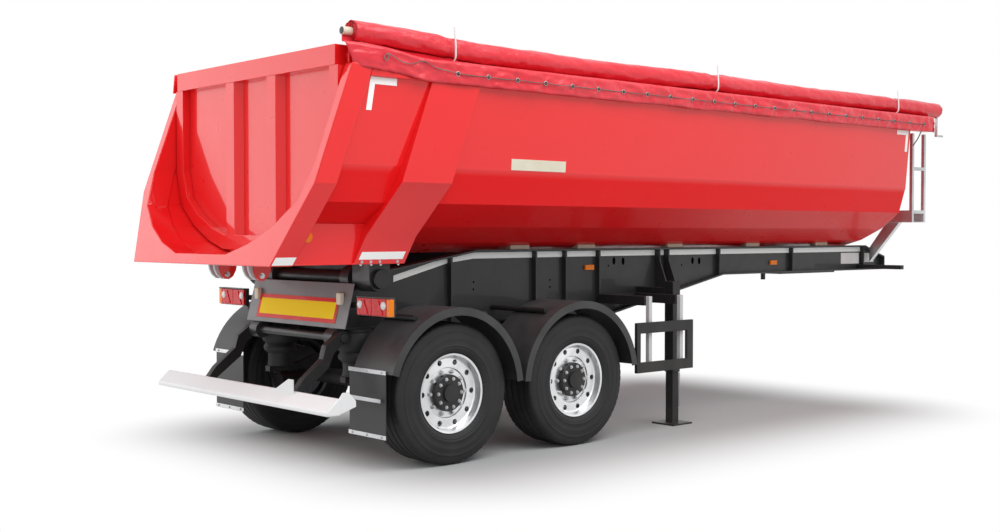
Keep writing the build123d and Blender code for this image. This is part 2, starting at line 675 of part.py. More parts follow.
# Top rails
with BuildPart() as top_rails:
    for side in (1, -1):
        block(-REAR_OVERHANG, RAIL_FRONT, *pair(side, RAIL_IN, RAIL_OUT), RAIL_Z, RAIL_TOP)
        block(-REAR_OVERHANG, RAIL_FRONT - WALL_T, *pair(side, RAIL_IN + WALL_T, RAIL_OUT - WALL_T),
              RAIL_Z + WALL_T, RAIL_TOP - WALL_T, mode=Mode.SUBTRACT)
    split(bisect_by=rear_plane(POST_DEPTH), keep=Keep.TOP)
save(top_rails, "top_rails")

# Tarpaulin rolled up on the right rail, with its flap over the outside
FLAP_FACE = -RAIL_OUT - SEAT_CLEARANCE
with BuildPart() as tarp:
    rod_along(TARP_Y, TARP_Z, TARP_R, TARP_REAR, TARP_FRONT)
    block(TARP_REAR, RAIL_FRONT, FLAP_FACE - TARP_T, TARP_Y, RAIL_TOP + SEAT_CLEARANCE, TARP_Z - 0.8 * TARP_R)
    block(TARP_REAR, RAIL_FRONT, FLAP_FACE - TARP_T, FLAP_FACE, TARP_FLAP_LOW, RAIL_TOP + SEAT_CLEARANCE + TARP_T)
save(tarp, "tarp")

# Winding tube at the rear end of the roll, and the crank at its front end
CRANK_T = 15
CRANK_HALF = 14
HANDLE_R = 12
with BuildPart() as crank:
    rod_along(TARP_Y, TARP_Z, TUBE_R, TARP_FRONT, TARP_FRONT + CRANK_T)
    block(TARP_FRONT, TARP_FRONT + CRANK_T, TARP_Y - CRANK_HALF, TARP_Y + CRANK_HALF, CRANK_Z - HANDLE_R, TARP_Z)
    rod_along(TARP_Y, CRANK_Z, HANDLE_R, TARP_FRONT, FRONT_REACH)
    rod_along(TARP_Y, TARP_Z, TUBE_R, TARP_REAR - 60, TARP_REAR)
save(crank, "crank")

# Tailgate: skin, and the frame behind it with its top beam and hinge pins
with BuildPart() as gate_skin:
    spout_prism(GATE_GAP, GATE_LOW, GATE_HIGH, GATE_X - GATE_T, GATE_X)
save(gate_skin, "gate_skin")

with BuildPart() as gate_frame:
    spout_prism(GATE_GAP, GATE_LOW, GATE_HIGH, GATE_X - GATE_T - GATE_DEPTH, GATE_X - GATE_T)
    spout_prism(GATE_GAP + GATE_FRAME_W, GATE_LOW + GATE_FRAME_W, GATE_HIGH, GATE_X - GATE_T - GATE_DEPTH,
                GATE_X - GATE_T, mode=Mode.SUBTRACT)
    for y in GATE_RIBS:
        with BuildSketch(Plane.XY.offset(GATE_LOW + GATE_FRAME_W / 2)) as hat:
            with BuildLine():
                Polyline((fwd(GATE_X - GATE_T), y - GATE_RIB_W / 2 - GATE_RIB_FLARE),
                         (fwd(GATE_X - GATE_T - GATE_DEPTH), y - GATE_RIB_W / 2),
                         (fwd(GATE_X - GATE_T - GATE_DEPTH), y + GATE_RIB_W / 2),
                         (fwd(GATE_X - GATE_T), y + GATE_RIB_W / 2 + GATE_RIB_FLARE), close=True)
            make_face()
        extrude(hat.sketch, amount=GATE_HIGH - GATE_LOW - GATE_FRAME_W / 2, dir=(0, 0, 1))
    block(GATE_BEAM_REAR, GATE_BEAM_FRONT, -GATE_BEAM_HALF, GATE_BEAM_HALF, GATE_HIGH, GATE_BEAM_TOP)
    for side in (1, -1):
        rod_across(GATE_PIN_X, GATE_PIN_Z, GATE_PIN_R, *pair(side, GATE_BEAM_HALF, EAR_OUT + TARP_T))
save(gate_frame, "gate_frame")

# Underrun guard: cranked arms and the bar
BAR_OUTLINE = ((-1145, 470), (-1035, 470), (-1025, 500), (-1025, 585), (-1050, 590), (-1145, 500))
ARM_OUTLINE = ((-560, 930), (-640, 985), (-760, 900), (-790, 800), (-965, 660), (-1025, 585), (-1025, 500),
               (-945, 580), (-740, 730), (-690, 840))
with BuildPart() as underrun_bar:
    side_prism(BAR_OUTLINE, -BAR_HALF, BAR_HALF)
save(underrun_bar, "underrun_bar")

with BuildPart() as underrun_arms:
    for side in (1, -1):
        band = pair(side, ARM_IN, ARM_OUT)
        side_prism(ARM_OUTLINE, *band)
        rod_across(UNDERRUN_X, UNDERRUN_Z, UNDERRUN_BOSS_R, *band)
        rod_across(UNDERRUN_X, UNDERRUN_Z, UNDERRUN_PIN_R + RUN_CLEARANCE, *band, mode=Mode.SUBTRACT)
save(underrun_arms, "underrun_arms")

# Wheels: (out from the middle plane, radius) of the rim with its disc, hub and drum, and of the tyre
RIM_OUTLINE = (
    (-RIM_HALF, FLANGE_R), (-150, FLANGE_R), (-145, SEAT_R), (-60, 280), (-40, 250),
    (40, 250), (60, 280), (145, SEAT_R), (150, FLANGE_R), (RIM_HALF, FLANGE_R),
    (RIM_HALF - 4, 283), (DISC_OUT + 8, 268), (DISC_OUT, 258), (DISC_OUT, DISH_R + 6), (DISC_OUT - 12, DISH_R),
    (DISC_OUT - 12, HUB_R), (HUB_OUT - 8, HUB_R), (HUB_OUT, HUB_R - 8), (HUB_OUT, CAP_R), (CAP_OUT, CAP_R),
    (CAP_OUT, 0), (SPINDLE_END - WHEEL_Y + 8, 0), (SPINDLE_END - WHEEL_Y + 8, SPINDLE_R + RUN_CLEARANCE),
    (-HUB_BACK, SPINDLE_R + RUN_CLEARANCE), (-HUB_BACK, 100), (15 - HUB_BACK, 100), (15 - HUB_BACK, DRUM_R),
    (70, DRUM_R), (76, 236), (-36, 236), (-56, 266), (-RIM_HALF + 4, 272),
)
TYRE_OUTLINE = (
    (0, TYRE_R), (150, TYRE_R - 3), (174, TYRE_R - 20), (187, TYRE_R - 75), (TYRE_HALF, TYRE_R - 130),
    (186, TYRE_R - 185), (165, FLANGE_R + 9), (149.5, FLANGE_R + 1), (144.5, SEAT_R + SEAT_CLEARANCE),
)
for axle, end in ((0, "rear"), (AXLE_SPACING, "front")):
    for side, word in ((1, "left"), (-1, "right")):
        centre = (fwd(axle), side * WHEEL_Y, AXLE_Z)
        section = Plane(origin=centre, x_dir=(0, side, 0), z_dir=(side, 0, 0))
        spin = Axis(centre, (0, 1, 0))
        with BuildPart() as rim:
            with BuildSketch(section):
                with BuildLine():
                    Polyline(*RIM_OUTLINE, close=True)
                make_face()
            revolve(axis=spin)
            with Locations(Plane(origin=centre, x_dir=(1, 0, 0), z_dir=(0, side, 0)).offset(DISC_OUT)):
                with PolarLocations(HAND_HOLE_CIRCLE, HAND_HOLES):
                    Hole(HAND_HOLE_R, depth=DISC_OUT - 60)
        save(rim, f"rim_{end}_{word}")
        with BuildPart() as tyre:
            with BuildSketch(section):
                with BuildLine():
                    Polyline(*TYRE_OUTLINE, *[(-s, r) for s, r in TYRE_OUTLINE[:0:-1]], close=True)
                make_face()
            revolve(axis=spin)
        save(tyre, f"tyre_{end}_{word}")

# Hoist: barrel on its trunnions, then five tubes that slide out of each other, the last with the eye
LEAN = Vector(HOIST_EYE_X - HOIST_BASE_X, 0, HOIST_EYE_Z - HOIST_BASE_Z)
BARREL_ABOVE = LEAN.length - BARREL_SHORT
HOIST = Plane(origin=(fwd(HOIST_BASE_X), 0, HOIST_BASE_Z), x_dir=(0, 1, 0), z_dir=LEAN)
FROM_BASE = (Align.CENTER, Align.CENTER, Align.MIN)
with BuildPart() as hoist_barrel:
    with Locations(HOIST.offset(-BARREL_BELOW)):
        Cylinder(BARREL_R, BARREL_BELOW + BARREL_ABOVE, align=FROM_BASE)
    rod_across(HOIST_BASE_X, HOIST_BASE_Z, TRUNNION_R, -TRUNNION_HALF, TRUNNION_HALF)
    with Locations(HOIST.offset(BARREL_FLOOR - BARREL_BELOW)):
        Cylinder(BARREL_R - STAGE_WALL, BARREL_BELOW + BARREL_ABOVE, align=FROM_BASE, mode=Mode.SUBTRACT)
save(hoist_barrel, "hoist_barrel")

for stage in range(1, STAGES + 1):
    outer = BARREL_R - stage * STAGE_WALL - stage * SEAT_CLEARANCE
    top = BARREL_ABOVE + stage * STAGE_STEP if stage < STAGES else LEAN.length - HOIST_PIN_R
    start = BARREL_FLOOR - BARREL_BELOW + SEAT_CLEARANCE
    with BuildPart() as tube:
        with Locations(HOIST.offset(start)):
            Cylinder(outer, top - start, align=FROM_BASE)
        if stage < STAGES:
            with Locations(HOIST.offset(start)):
                Cylinder(outer - STAGE_WALL, top - start, align=FROM_BASE, mode=Mode.SUBTRACT)
        else:
            rod_across(HOIST_EYE_X, HOIST_EYE_Z, EYE_R, -EYE_HALF, EYE_HALF)
            rod_across(HOIST_EYE_X, HOIST_EYE_Z, HOIST_PIN_R, -EYE_HALF, EYE_HALF, mode=Mode.SUBTRACT)
    save(tube, f"hoist_stage_{stage}")
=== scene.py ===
# %% [markdown]
# A tipper semi-trailer: a red half-round steel body on a dark two-beam chassis, with a rolled side
# tarpaulin, polished wheels and a white folding underrun guard. The solids arrive as a fixed frame,
# so this lesson only dresses them: soft edges, finishes, and the small pieces that solids leave out.

# %% Load the frame
import math

import bmesh
import bpy
from mathutils import Matrix, Vector, noise


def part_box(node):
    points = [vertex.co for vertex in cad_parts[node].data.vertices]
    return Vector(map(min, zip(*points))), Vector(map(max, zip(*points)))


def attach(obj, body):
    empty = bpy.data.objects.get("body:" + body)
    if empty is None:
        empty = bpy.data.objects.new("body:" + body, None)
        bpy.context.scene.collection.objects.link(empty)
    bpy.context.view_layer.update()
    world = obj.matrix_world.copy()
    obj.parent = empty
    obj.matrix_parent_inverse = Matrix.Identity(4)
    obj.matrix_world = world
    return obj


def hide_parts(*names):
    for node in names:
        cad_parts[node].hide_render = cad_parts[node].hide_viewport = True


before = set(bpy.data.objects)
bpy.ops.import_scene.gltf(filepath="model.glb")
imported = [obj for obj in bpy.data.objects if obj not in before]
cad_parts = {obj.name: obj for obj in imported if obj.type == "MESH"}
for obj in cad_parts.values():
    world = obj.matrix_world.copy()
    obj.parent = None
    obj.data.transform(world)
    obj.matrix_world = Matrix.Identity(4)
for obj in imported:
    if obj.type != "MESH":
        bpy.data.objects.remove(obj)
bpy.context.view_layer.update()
REAR_AXLE_X = -2.83
scene = bpy.context.scene
print("nodes loaded:", len(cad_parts))

# %% [markdown]
# Places along the trailer are easiest to read when they are counted forward from the rear axle, as a
# trailer maker does. One small function moves such a place into the model's own frame.

# %% Places


def at(x):
    """The model's x of a place counted forward from the rear axle, in metres."""
    return x + REAR_AXLE_X


def side_pair(side, a, b):
    """Two y values on one side of the trailer, the smaller first."""
    return sorted((side * a, side * b))


print("rear axle at", at(0), "front axle at", round(at(1.31), 3))

# %% [markdown]
# The camera comes first. The photo was solved for its viewpoint from the wheels, so the camera stands
# behind the right rear corner at eye height, turned 41.7 degrees from straight across, and looks down a
# little. A 36 mm wide sensor with a lens of about 46 mm gives the photo's field of view.

# %% Camera
CAMERA_PLACE = (at(-6.0135), -8.4625, 1.7321)
CAMERA_TURN = math.radians(41.7476)
CAMERA_DIP = math.radians(1.519)
camera_data = bpy.data.cameras.new("camera")
camera_data.sensor_fit = "HORIZONTAL"
camera_data.sensor_width = 36
camera_data.lens = 45.7485
camera_data.clip_end = 200
camera = bpy.data.objects.new("camera", camera_data)
camera.location = CAMERA_PLACE
camera.rotation_euler = (math.pi / 2 - CAMERA_DIP, 0, -CAMERA_TURN)
scene.collection.objects.link(camera)
scene.camera = camera
print("camera", [round(v, 2) for v in camera.location])

# %% [markdown]
# Every finish is a small node tree on a Principled shader. A few helpers keep the trees short: they start
# a material, add a node and fill its sockets, and add noise that reads Object coordinates, so a pattern
# stays at its real size on every piece.

# %% Finish helpers


def new_finish(name):
    """A material with its node tree and its Principled shader."""
    finish = bpy.data.materials.new(name)
    finish.use_nodes = True
    tree = finish.node_tree
    return finish, tree, tree.nodes["Principled BSDF"]


def set_sockets(node, **sockets):
    """Sets a node's input sockets by name."""
    for name, value in sockets.items():
        node.inputs[name.replace("_", " ")].default_value = value


def add_node(tree, kind, **sockets):
    """A node of that kind, with its input sockets set by name."""
    made = tree.nodes.new(kind)
    set_sockets(made, **sockets)
    return made


def add_math(tree, operation, *values):
    """A Math node on sockets or numbers."""
    made = tree.nodes.new("ShaderNodeMath")
    made.operation = operation
    for place, value in enumerate(values):
        if isinstance(value, float):
            made.inputs[place].default_value = value
        else:
            tree.links.new(value, made.inputs[place])
    return made.outputs[0]


def object_point(tree, scale=(1, 1, 1)):
    """Object coordinates, stretched by scale."""
    where = tree.nodes.new("ShaderNodeTexCoord")
    mapping = add_node(tree, "ShaderNodeMapping", Scale=scale)
    tree.links.new(where.outputs["Object"], mapping.inputs["Vector"])
    return mapping.outputs["Vector"]


def add_noise(tree, scale, detail=3.0, stretch=(1, 1, 1)):
    """Noise over Object coordinates, from 0 to 1."""
    made = add_node(tree, "ShaderNodeTexNoise", Scale=scale, Detail=detail)
    tree.links.new(object_point(tree, stretch), made.inputs["Vector"])
    return made.outputs["Fac"]


def add_range(tree, value, low, high, out_low, out_high):
    """value moved from the range low to high into the range out_low to out_high."""
    made = add_node(tree, "ShaderNodeMapRange", From_Min=low, From_Max=high, To_Min=out_low, To_Max=out_high)
    tree.links.new(value, made.inputs["Value"])
    return made.outputs["Result"]


def add_blend(tree, share, colour_a, colour_b):
    """Colour a where share is 0 and colour b where it is 1; either may be a socket."""
    made = tree.nodes.new("ShaderNodeMix")
    made.data_type = "RGBA"
    tree.links.new(share, made.inputs[0])
    for place, colour in ((6, colour_a), (7, colour_b)):
        if isinstance(colour, tuple):
            made.inputs[place].default_value = (*colour, 1)
        else:
            tree.links.new(colour, made.inputs[place])
    return made.outputs[2]


def add_bump(tree, height, strength, distance, shader):
    """A bump node from a height socket, into the normal of a shader or of another bump."""
    made = add_node(tree, "ShaderNodeBump", Strength=strength, Distance=distance)
    tree.links.new(height, made.inputs["Height"])
    tree.links.new(made.outputs["Normal"], shader.inputs["Normal"])
    return made


def object_height(tree):
    """Height above the ground, as a socket."""
    split = tree.nodes.new("ShaderNodeSeparateXYZ")
    tree.links.new(object_point(tree), split.inputs["Vector"])
    return split.outputs["Z"]


# %% [markdown]
# Paint on steel is never one flat colour: the coat has a faint orange peel, broad tone changes, road
# dust that thickens towards the ground, and a roughness that changes with noise of its own. One function
# makes every painted finish from a colour, a gloss and an amount of dust. The body's lower folds face the
# road, so below its long crease the red has lost most of its clear coat.

# %% Painted finishes
ROAD_DUST = (0.16, 0.13, 0.10)


def painted(name, colour, roughness, coat, dust, dust_top, speck=0.06, peel=0.03, metal=0.0, shine=0.3,
            dull_top=None):
    """Enamel with orange peel, tone changes and dust that fades out at height dust_top.

    Below dull_top, where one is given, most of the clear coat is worn off.
    """
    finish, tree, shader = new_finish(name)
    tone = add_noise(tree, 1.3, 4.0)
    darker = tuple(c * (1 - speck * 2) for c in colour)
    lighter = tuple(min(1, c * (1 + speck)) for c in colour)
    base = add_blend(tree, tone, darker, lighter)
    fade = add_range(tree, object_height(tree), dust_top, 0.2, 0.0, 1.0)
    grime = add_range(tree, add_noise(tree, 6.0, 6.0, (1, 1, 0.35)), 0.38, 0.75, 0.0, dust)
    share = add_math(tree, "MULTIPLY", fade, grime)
    dirt = tuple(0.55 * c + 0.45 * d for c, d in zip(colour, ROAD_DUST))
    tree.links.new(add_blend(tree, share, base, dirt), shader.inputs["Base Color"])
    tree.links.new(add_range(tree, add_noise(tree, 9.0, 3.0), 0.3, 0.7, roughness * 0.85, roughness * 1.2),
                   shader.inputs["Roughness"])
    set_sockets(shader, Coat_Weight=coat, Coat_Roughness=0.05, Specular_IOR_Level=shine, Metallic=metal)
    if dull_top:
        worn = add_range(tree, object_height(tree), dull_top - 0.05, dull_top, coat * 0.1, coat)
        tree.links.new(worn, shader.inputs["Coat Weight"])
    add_bump(tree, add_noise(tree, 240.0, 2.0), peel, 0.002, shader)
    return finish


RED = (0.82, 0.011, 0.013)
CREASE_Z = 2.206
body_red = painted("body_red_enamel", RED, 0.32, 0.8, 0.2, 2.0, speck=0.02, peel=0.01, shine=0.12)
wall_red = painted("wall_red_enamel", RED, 0.32, 1.0, 0.5, 2.2, speck=0.02, peel=0.01, shine=0.08,
                   dull_top=CREASE_Z)
chassis_grey = painted("chassis_anthracite", (0.028, 0.029, 0.031), 0.42, 0.20, 0.26, 1.7)
running_black = painted("running_gear_black", (0.016, 0.016, 0.017), 0.5, 0.1, 0.45, 1.3)
valance_grey = painted("valance_grey_primer", (0.21, 0.22, 0.225), 0.45, 0.15, 0.3, 1.5)
guard_white = painted("underrun_white_enamel", (0.80, 0.80, 0.80), 0.35, 0.3, 0.10, 0.7, speck=0.02)
arm_grey = painted("post_light_grey", (0.58, 0.59, 0.60), 0.45, 0.1, 0.4, 1.4)
board_yellow = painted("board_yellow", (1.0, 0.74, 0.012), 0.4, 0.0, 0.05, 1.5, speck=0.01, peel=0.02,
                       shine=0.06)
board_red = painted("board_border_red", (0.68, 0.015, 0.012), 0.4, 0.1, 0.02, 1.5, speck=0.02, peel=0.02,
                    shine=0.2)
hoist_chrome = painted("hoist_hard_chrome", (0.62, 0.62, 0.63), 0.14, 0.0, 0.1, 1.6, metal=1.0)
print("painted finishes:", len(bpy.data.materials))

# %% [markdown]
# Bare metal needs scratches and tone rather than dust. The wheels are polished, the platform is dull
# mill aluminium and the fasteners are zinc. Stretching the noise along one axis turns it into brush
# marks.

# %% Bare metal finishes


def bare_metal(name, colour, roughness, spread, stretch, scale=30.0, mark=0.05):
    """Metal with brushed marks: stretch sets how the marks run."""
    finish, tree, shader = new_finish(name)
    marks = add_noise(tree, scale, 5.0, stretch)
    stain = add_noise(tree, 3.0, 5.0)
    dull = tuple(c * 0.72 for c in colour)
    tree.links.new(add_blend(tree, add_range(tree, stain, 0.35, 0.7, 0.0, 1.0), colour, dull),
                   shader.inputs["Base Color"])
    tree.links.new(add_range(tree, marks, 0.25, 0.75, roughness - spread, roughness + spread),
                   shader.inputs["Roughness"])
    set_sockets(shader, Metallic=1.0)
    add_bump(tree, marks, mark, 0.002, shader)
    return finish


wheel_alloy = bare_metal("polished_wheel_alloy", (0.86, 0.87, 0.88), 0.34, 0.04, (1, 1, 1), 40.0, 0.01)
mill_alloy = bare_metal("dull_mill_alloy", (0.68, 0.69, 0.70), 0.42, 0.10, (6, 0.4, 6), 30.0, 0.08)
zinc = bare_metal("zinc_plate", (0.62, 0.63, 0.64), 0.36, 0.10, (1, 1, 1), 60.0, 0.05)
dark_steel = bare_metal("worn_dark_steel", (0.20, 0.20, 0.21), 0.45, 0.12, (1, 1, 1), 25.0, 0.10)

# %% [markdown]
# Rubber and moulded plastic are dark, matt and slightly dusty, with paler worn patches here and there.
# The tyre rubber's bump is finer than the plastic's grain.

# %% Rubber and plastic finishes


def moulded(name, colour, roughness, grain, strength, pale):
    """Dark rubber or plastic with a grain and paler worn patches."""
    finish, tree, shader = new_finish(name)
    worn = add_range(tree, add_noise(tree, 5.0, 6.0), 0.40, 0.75, 0.0, 1.0)
    tree.links.new(add_blend(tree, worn, colour, pale), shader.inputs["Base Color"])
    tree.links.new(add_range(tree, worn, 0.0, 1.0, roughness, roughness + 0.12), shader.inputs["Roughness"])
    set_sockets(shader, Specular_IOR_Level=0.35)
    add_bump(tree, add_noise(tree, grain, 3.0), strength, 0.002, shader)
    return finish


tyre_rubber = moulded("tyre_rubber", (0.012, 0.012, 0.013), 0.55, 180.0, 0.10, (0.024, 0.023, 0.022))
flap_rubber = moulded("flap_rubber", (0.010, 0.010, 0.011), 0.55, 140.0, 0.10, (0.022, 0.022, 0.022))
guard_black = moulded("guard_black_plastic", (0.034, 0.034, 0.035), 0.36, 220.0, 0.08, (0.052, 0.052, 0.053))
pad_tan = moulded("rest_pad_tan", (0.40, 0.33, 0.25), 0.7, 120.0, 0.2, (0.50, 0.43, 0.34))
cream_plastic = moulded("cream_plastic", (0.72, 0.68, 0.54), 0.5, 150.0, 0.06, (0.66, 0.60, 0.46))
rope_grey = moulded("weathered_rope", (0.16, 0.13, 0.12), 0.85, 300.0, 0.3, (0.26, 0.23, 0.22))
strap_white = moulded("white_rod_coating", (0.80, 0.80, 0.79), 0.45, 150.0, 0.05, (0.70, 0.70, 0.69))

# %% [markdown]
# Lamps and reflective tape catch the light with a pattern of small prisms. A Voronoi pattern on Object
# coordinates bumps the lens, so it sparkles a little without any glow of its own, and it darkens the
# prisms' valleys with painted shade.

# %% Lenses and reflective tape


def prism_lens(name, colour, roughness, cell, strength, shade, coat):
    """Coloured plastic with moulded prisms and painted shade in their valleys, darker by the factor shade,
    under a clear coat.
    """
    finish, tree, shader = new_finish(name)
    prisms = add_node(tree, "ShaderNodeTexVoronoi", Scale=cell)
    tree.links.new(object_point(tree), prisms.inputs["Vector"])
    # Painted shade: the lens colour darkens by the factor shade towards each prism's valley.
    valley_painted_shade = tuple(c * shade for c in colour)
    tree.links.new(add_blend(tree, prisms.outputs["Distance"], valley_painted_shade, colour), shader.inputs["Base Color"])
    set_sockets(shader, Roughness=roughness, Coat_Weight=coat, Coat_Roughness=0.05, Specular_IOR_Level=0.2)
    add_bump(tree, prisms.outputs["Distance"], strength, 0.002, shader)
    return finish


lens_red = prism_lens("lens_red", (0.88, 0.003, 0.010), 0.20, 60.0, 0.3, 0.35, 0.06)
lens_amber = prism_lens("lens_amber", (0.98, 0.24, 0.002), 0.18, 120.0, 0.1, 0.7, 0.1)
lens_clear = prism_lens("lens_clear", (0.84, 0.85, 0.86), 0.12, 160.0, 0.2, 0.7, 0.8)
reflex_white = prism_lens("reflective_tape_white", (0.97, 0.97, 0.95), 0.5, 260.0, 0.03, 0.95, 0.3)
print("finishes so far:", len(bpy.data.materials))

# %% [markdown]
# The tarpaulin is a coated weave. Its thread pattern is far finer than a pixel here, so two crossed
# waves bump it lightly, and slow noise stands for the creases and the chalky bloom of an old cover.

# %% Tarpaulin finish


def coated_fabric(name, colour, chalk):
    """Coated woven cloth: thread bump, creases and a chalky bloom."""
    finish, tree, shader = new_finish(name)
    bloom = add_range(tree, add_noise(tree, 4.0, 6.0, (0.4, 1, 1)), 0.4, 0.8, 0.0, 0.4)
    tree.links.new(add_blend(tree, bloom, colour, chalk), shader.inputs["Base Color"])
    set_sockets(shader, Roughness=0.29, Specular_IOR_Level=0.5)
    threads = []
    for way in ("X", "Z"):
        wave = add_node(tree, "ShaderNodeTexWave", Scale=110.0, Distortion=0.2)
        wave.bands_direction = way
        tree.links.new(object_point(tree), wave.inputs["Vector"])
        threads.append(wave.outputs["Fac"])
    weave = add_bump(tree, add_math(tree, "MAXIMUM", *threads), 0.06, 0.001, shader)
    add_bump(tree, add_noise(tree, 8.0, 3.0, (1, 1.5, 1.5)), 0.45, 0.03, weave)
    return finish


tarp_red = coated_fabric("tarpaulin_red", (0.70, 0.016, 0.032), (0.78, 0.09, 0.11))

# %% [markdown]
# Sheet steel has edges with a small radius, and that thin bright line is what makes a box read as
# metal. The solids have sharp edges, so each one that shows is copied, its triangles are merged back
# into flat faces, and a Bevel modifier rounds the edges. The copy stands in for the solid.

# %% Soft-edged copies of the solids
SHARP_EDGE = math.radians(30)
FLAT_FACE = math.radians(0.4)


def link_piece(name, mesh, *finishes):
    """A new object of that mesh in the scene, with its finishes."""
    for finish in finishes:
        mesh.materials.append(finish)
    piece = bpy.data.objects.new(name, mesh)
    scene.collection.objects.link(piece)
    return piece


def mesh_of(shape, name):
    """The bmesh as a plain mesh."""
    mesh = bpy.data.meshes.new(name)
    shape.to_mesh(mesh)
    shape.free()
    return mesh


def round_edges(piece, width):
    """A Bevel on every sharp edge, with smooth shading round it."""
    piece.data.shade_smooth()
    piece.data.set_sharp_from_angle(angle=SHARP_EDGE)
    bevel = piece.modifiers.new("round_edges", "BEVEL")
    bevel.width = width
    bevel.segments = 2
    bevel.limit_method = "ANGLE"
    bevel.angle_limit = SHARP_EDGE
    bevel.harden_normals = True
    return piece


def keep_piece(piece, body, slot, *nodes):
    """The piece rides on a body and may stand for solids; slot is not used."""
    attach(piece, body)
    if nodes:
        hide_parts(*nodes)
    return piece


def soft_copy(node, body, slot, finish, width):
    """A copy of a solid with rounded edges, which stands for it."""
    shape = bmesh.new()
    shape.from_mesh(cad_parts[node].data)
    bmesh.ops.remove_doubles(shape, verts=shape.verts, dist=1e-5)
    bmesh.ops.dissolve_limit(shape, angle_limit=FLAT_FACE, verts=shape.verts, edges=shape.edges)
    name = node + "_soft"
    return keep_piece(round_edges(link_piece(name, mesh_of(shape, name), finish), width), body, slot, node)


CHASSIS_COPIES = (
    ("beam_left", "chassis_paint", chassis_grey, 0.003),
    ("beam_right", "chassis_paint", chassis_grey, 0.003),
    ("cross_members", "chassis_paint", chassis_grey, 0.003),
    ("carriers", "chassis_paint", running_black, 0.003),
    ("coupling_plate", "chassis_paint", chassis_grey, 0.003),
    ("hoist_cradle", "chassis_paint", chassis_grey, 0.003),
    ("hinge_shaft", "dark_steel", running_black, 0.004),
    ("rest_pads", "pad_rubber", pad_tan, 0.006),
    ("rear_valance", "valance_grey", valance_grey, 0.002),
    ("axles", "chassis_paint", running_black, 0.004),
    ("trailing_arms", "chassis_paint", running_black, 0.006),
    ("landing_legs", "chassis_paint", running_black, 0.005),
    ("landing_feet", "chassis_paint", running_black, 0.004),
    ("side_guards", "chassis_paint", running_black, 0.006),
    ("guard_posts", "galvanised", arm_grey, 0.004),
    ("platform", "polished_aluminium", mill_alloy, 0.002),
)
for node, slot, finish, width in CHASSIS_COPIES:
    soft_copy(node, "chassis", slot, finish, width)
BODY_COPIES = (
    ("rear_frame", 0.012), ("wide_ribs", 0.014), ("top_rails", 0.012), ("front_wall", 0.004),
)
for node, width in BODY_COPIES:
    soft_copy(node, "tipper_body", "red_paint", body_red, width)
soft_copy("hinge_bearings", "tipper_body", "chassis_paint", chassis_grey, 0.005)
soft_copy("gate_frame", "tailgate", "red_paint", body_red, 0.010)
soft_copy("underrun_bar", "underrun", "white_paint", guard_white, 0.010)
soft_copy("underrun_arms", "underrun", "chassis_paint", running_black, 0.006)
print("soft-edged copies:", len(CHASSIS_COPIES) + len(BODY_COPIES) + 4)

# %% [markdown]
# A thin sheet, such as the half-round walls, keeps its solid, because its shape is already right. It
# only gets its finish, and so do the hoist and the pieces that hide behind others.

# %% Finishes on the solids that stay


def dress(finish, *nodes):
    """Gives solids that stay their finish."""
    for node in nodes:
        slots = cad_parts[node].material_slots
        for place in range(len(slots)):
            slots[place].link = "OBJECT"
            slots[place].material = finish


dress(wall_red, "floor_pan", "side_wall_left", "side_wall_right")
dress(body_red, "gate_skin")
dress(hoist_chrome, *(f"hoist_stage_{number}" for number in range(1, 6)))
dress(running_black, "hoist_barrel")
dress(guard_black, "mudguards", "mud_flaps")
dress(zinc, "crank")
dress(lens_amber, "marker_lamps")
print("solids dressed")

# %% [markdown]
# Nuts, bolts and eyelets repeat, so Geometry Nodes make them. A tree takes its sizes as named inputs,
# puts one fastener on every point of a circle or a row, realises the copies and sets their finish. The
# helper below runs such a tree once and keeps the result as a plain mesh.

# %% Fastener trees


def start_tree(name, inputs):
    """A Geometry Nodes tree with those named inputs, and its input and output nodes."""
    tree = bpy.data.node_groups.new(name, "GeometryNodeTree")
    tree.interface.new_socket("Geometry", in_out="OUTPUT", socket_type="NodeSocketGeometry")
    for label, kind in inputs:
        tree.interface.new_socket(label, in_out="INPUT", socket_type=kind)
    return tree, tree.nodes.new("NodeGroupInput"), tree.nodes.new("NodeGroupOutput")


def scaled(tree, value, factor):
    """value times a fixed factor."""
    return add_math(tree, "MULTIPLY", value, factor)


def disc_of(tree, sides, radius, depth):
    """A cylinder that stands on its local ground, as a geometry socket."""
    made = add_node(tree, "GeometryNodeMeshCylinder", Vertices=sides)
    tree.links.new(radius, made.inputs["Radius"])
    tree.links.new(depth, made.inputs["Depth"])
    lift = tree.nodes.new("ShaderNodeCombineXYZ")
    tree.links.new(scaled(tree, depth, 0.5), lift.inputs["Z"])
    stand = tree.nodes.new("GeometryNodeTransform")
    tree.links.new(made.outputs["Mesh"], stand.inputs["Geometry"])
    tree.links.new(lift.outputs[0], stand.inputs["Translation"])
    return stand.outputs["Geometry"]


def end_tree(tree, points, fastener, group_in, group_out):
    """Instances of the fastener on the points, realised, with the finish set."""
    copies = tree.nodes.new("GeometryNodeInstanceOnPoints")
    tree.links.new(points, copies.inputs["Points"])
    tree.links.new(fastener, copies.inputs["Instance"])
    real = tree.nodes.new("GeometryNodeRealizeInstances")
    tree.links.new(copies.outputs["Instances"], real.inputs["Geometry"])
    finish = tree.nodes.new("GeometryNodeSetMaterial")
    tree.links.new(real.outputs["Geometry"], finish.inputs["Geometry"])
    tree.links.new(group_in.outputs["Finish"], finish.inputs["Material"])
    tree.links.new(finish.outputs["Geometry"], group_out.inputs["Geometry"])


def nut_of(tree, group_in):
    """A washer, a nut and the end of its stud, joined."""
    radius, height = group_in.outputs["Nut Radius"], group_in.outputs["Nut Height"]
    joined = tree.nodes.new("GeometryNodeJoinGeometry")
    for piece in (
        disc_of(tree, 16, scaled(tree, radius, 1.3), scaled(tree, height, 0.25)),
        disc_of(tree, 6, radius, height),
        disc_of(tree, 12, scaled(tree, radius, 0.55), scaled(tree, height, 1.35)),
    ):
        tree.links.new(piece, joined.inputs["Geometry"])
    return joined.outputs["Geometry"]


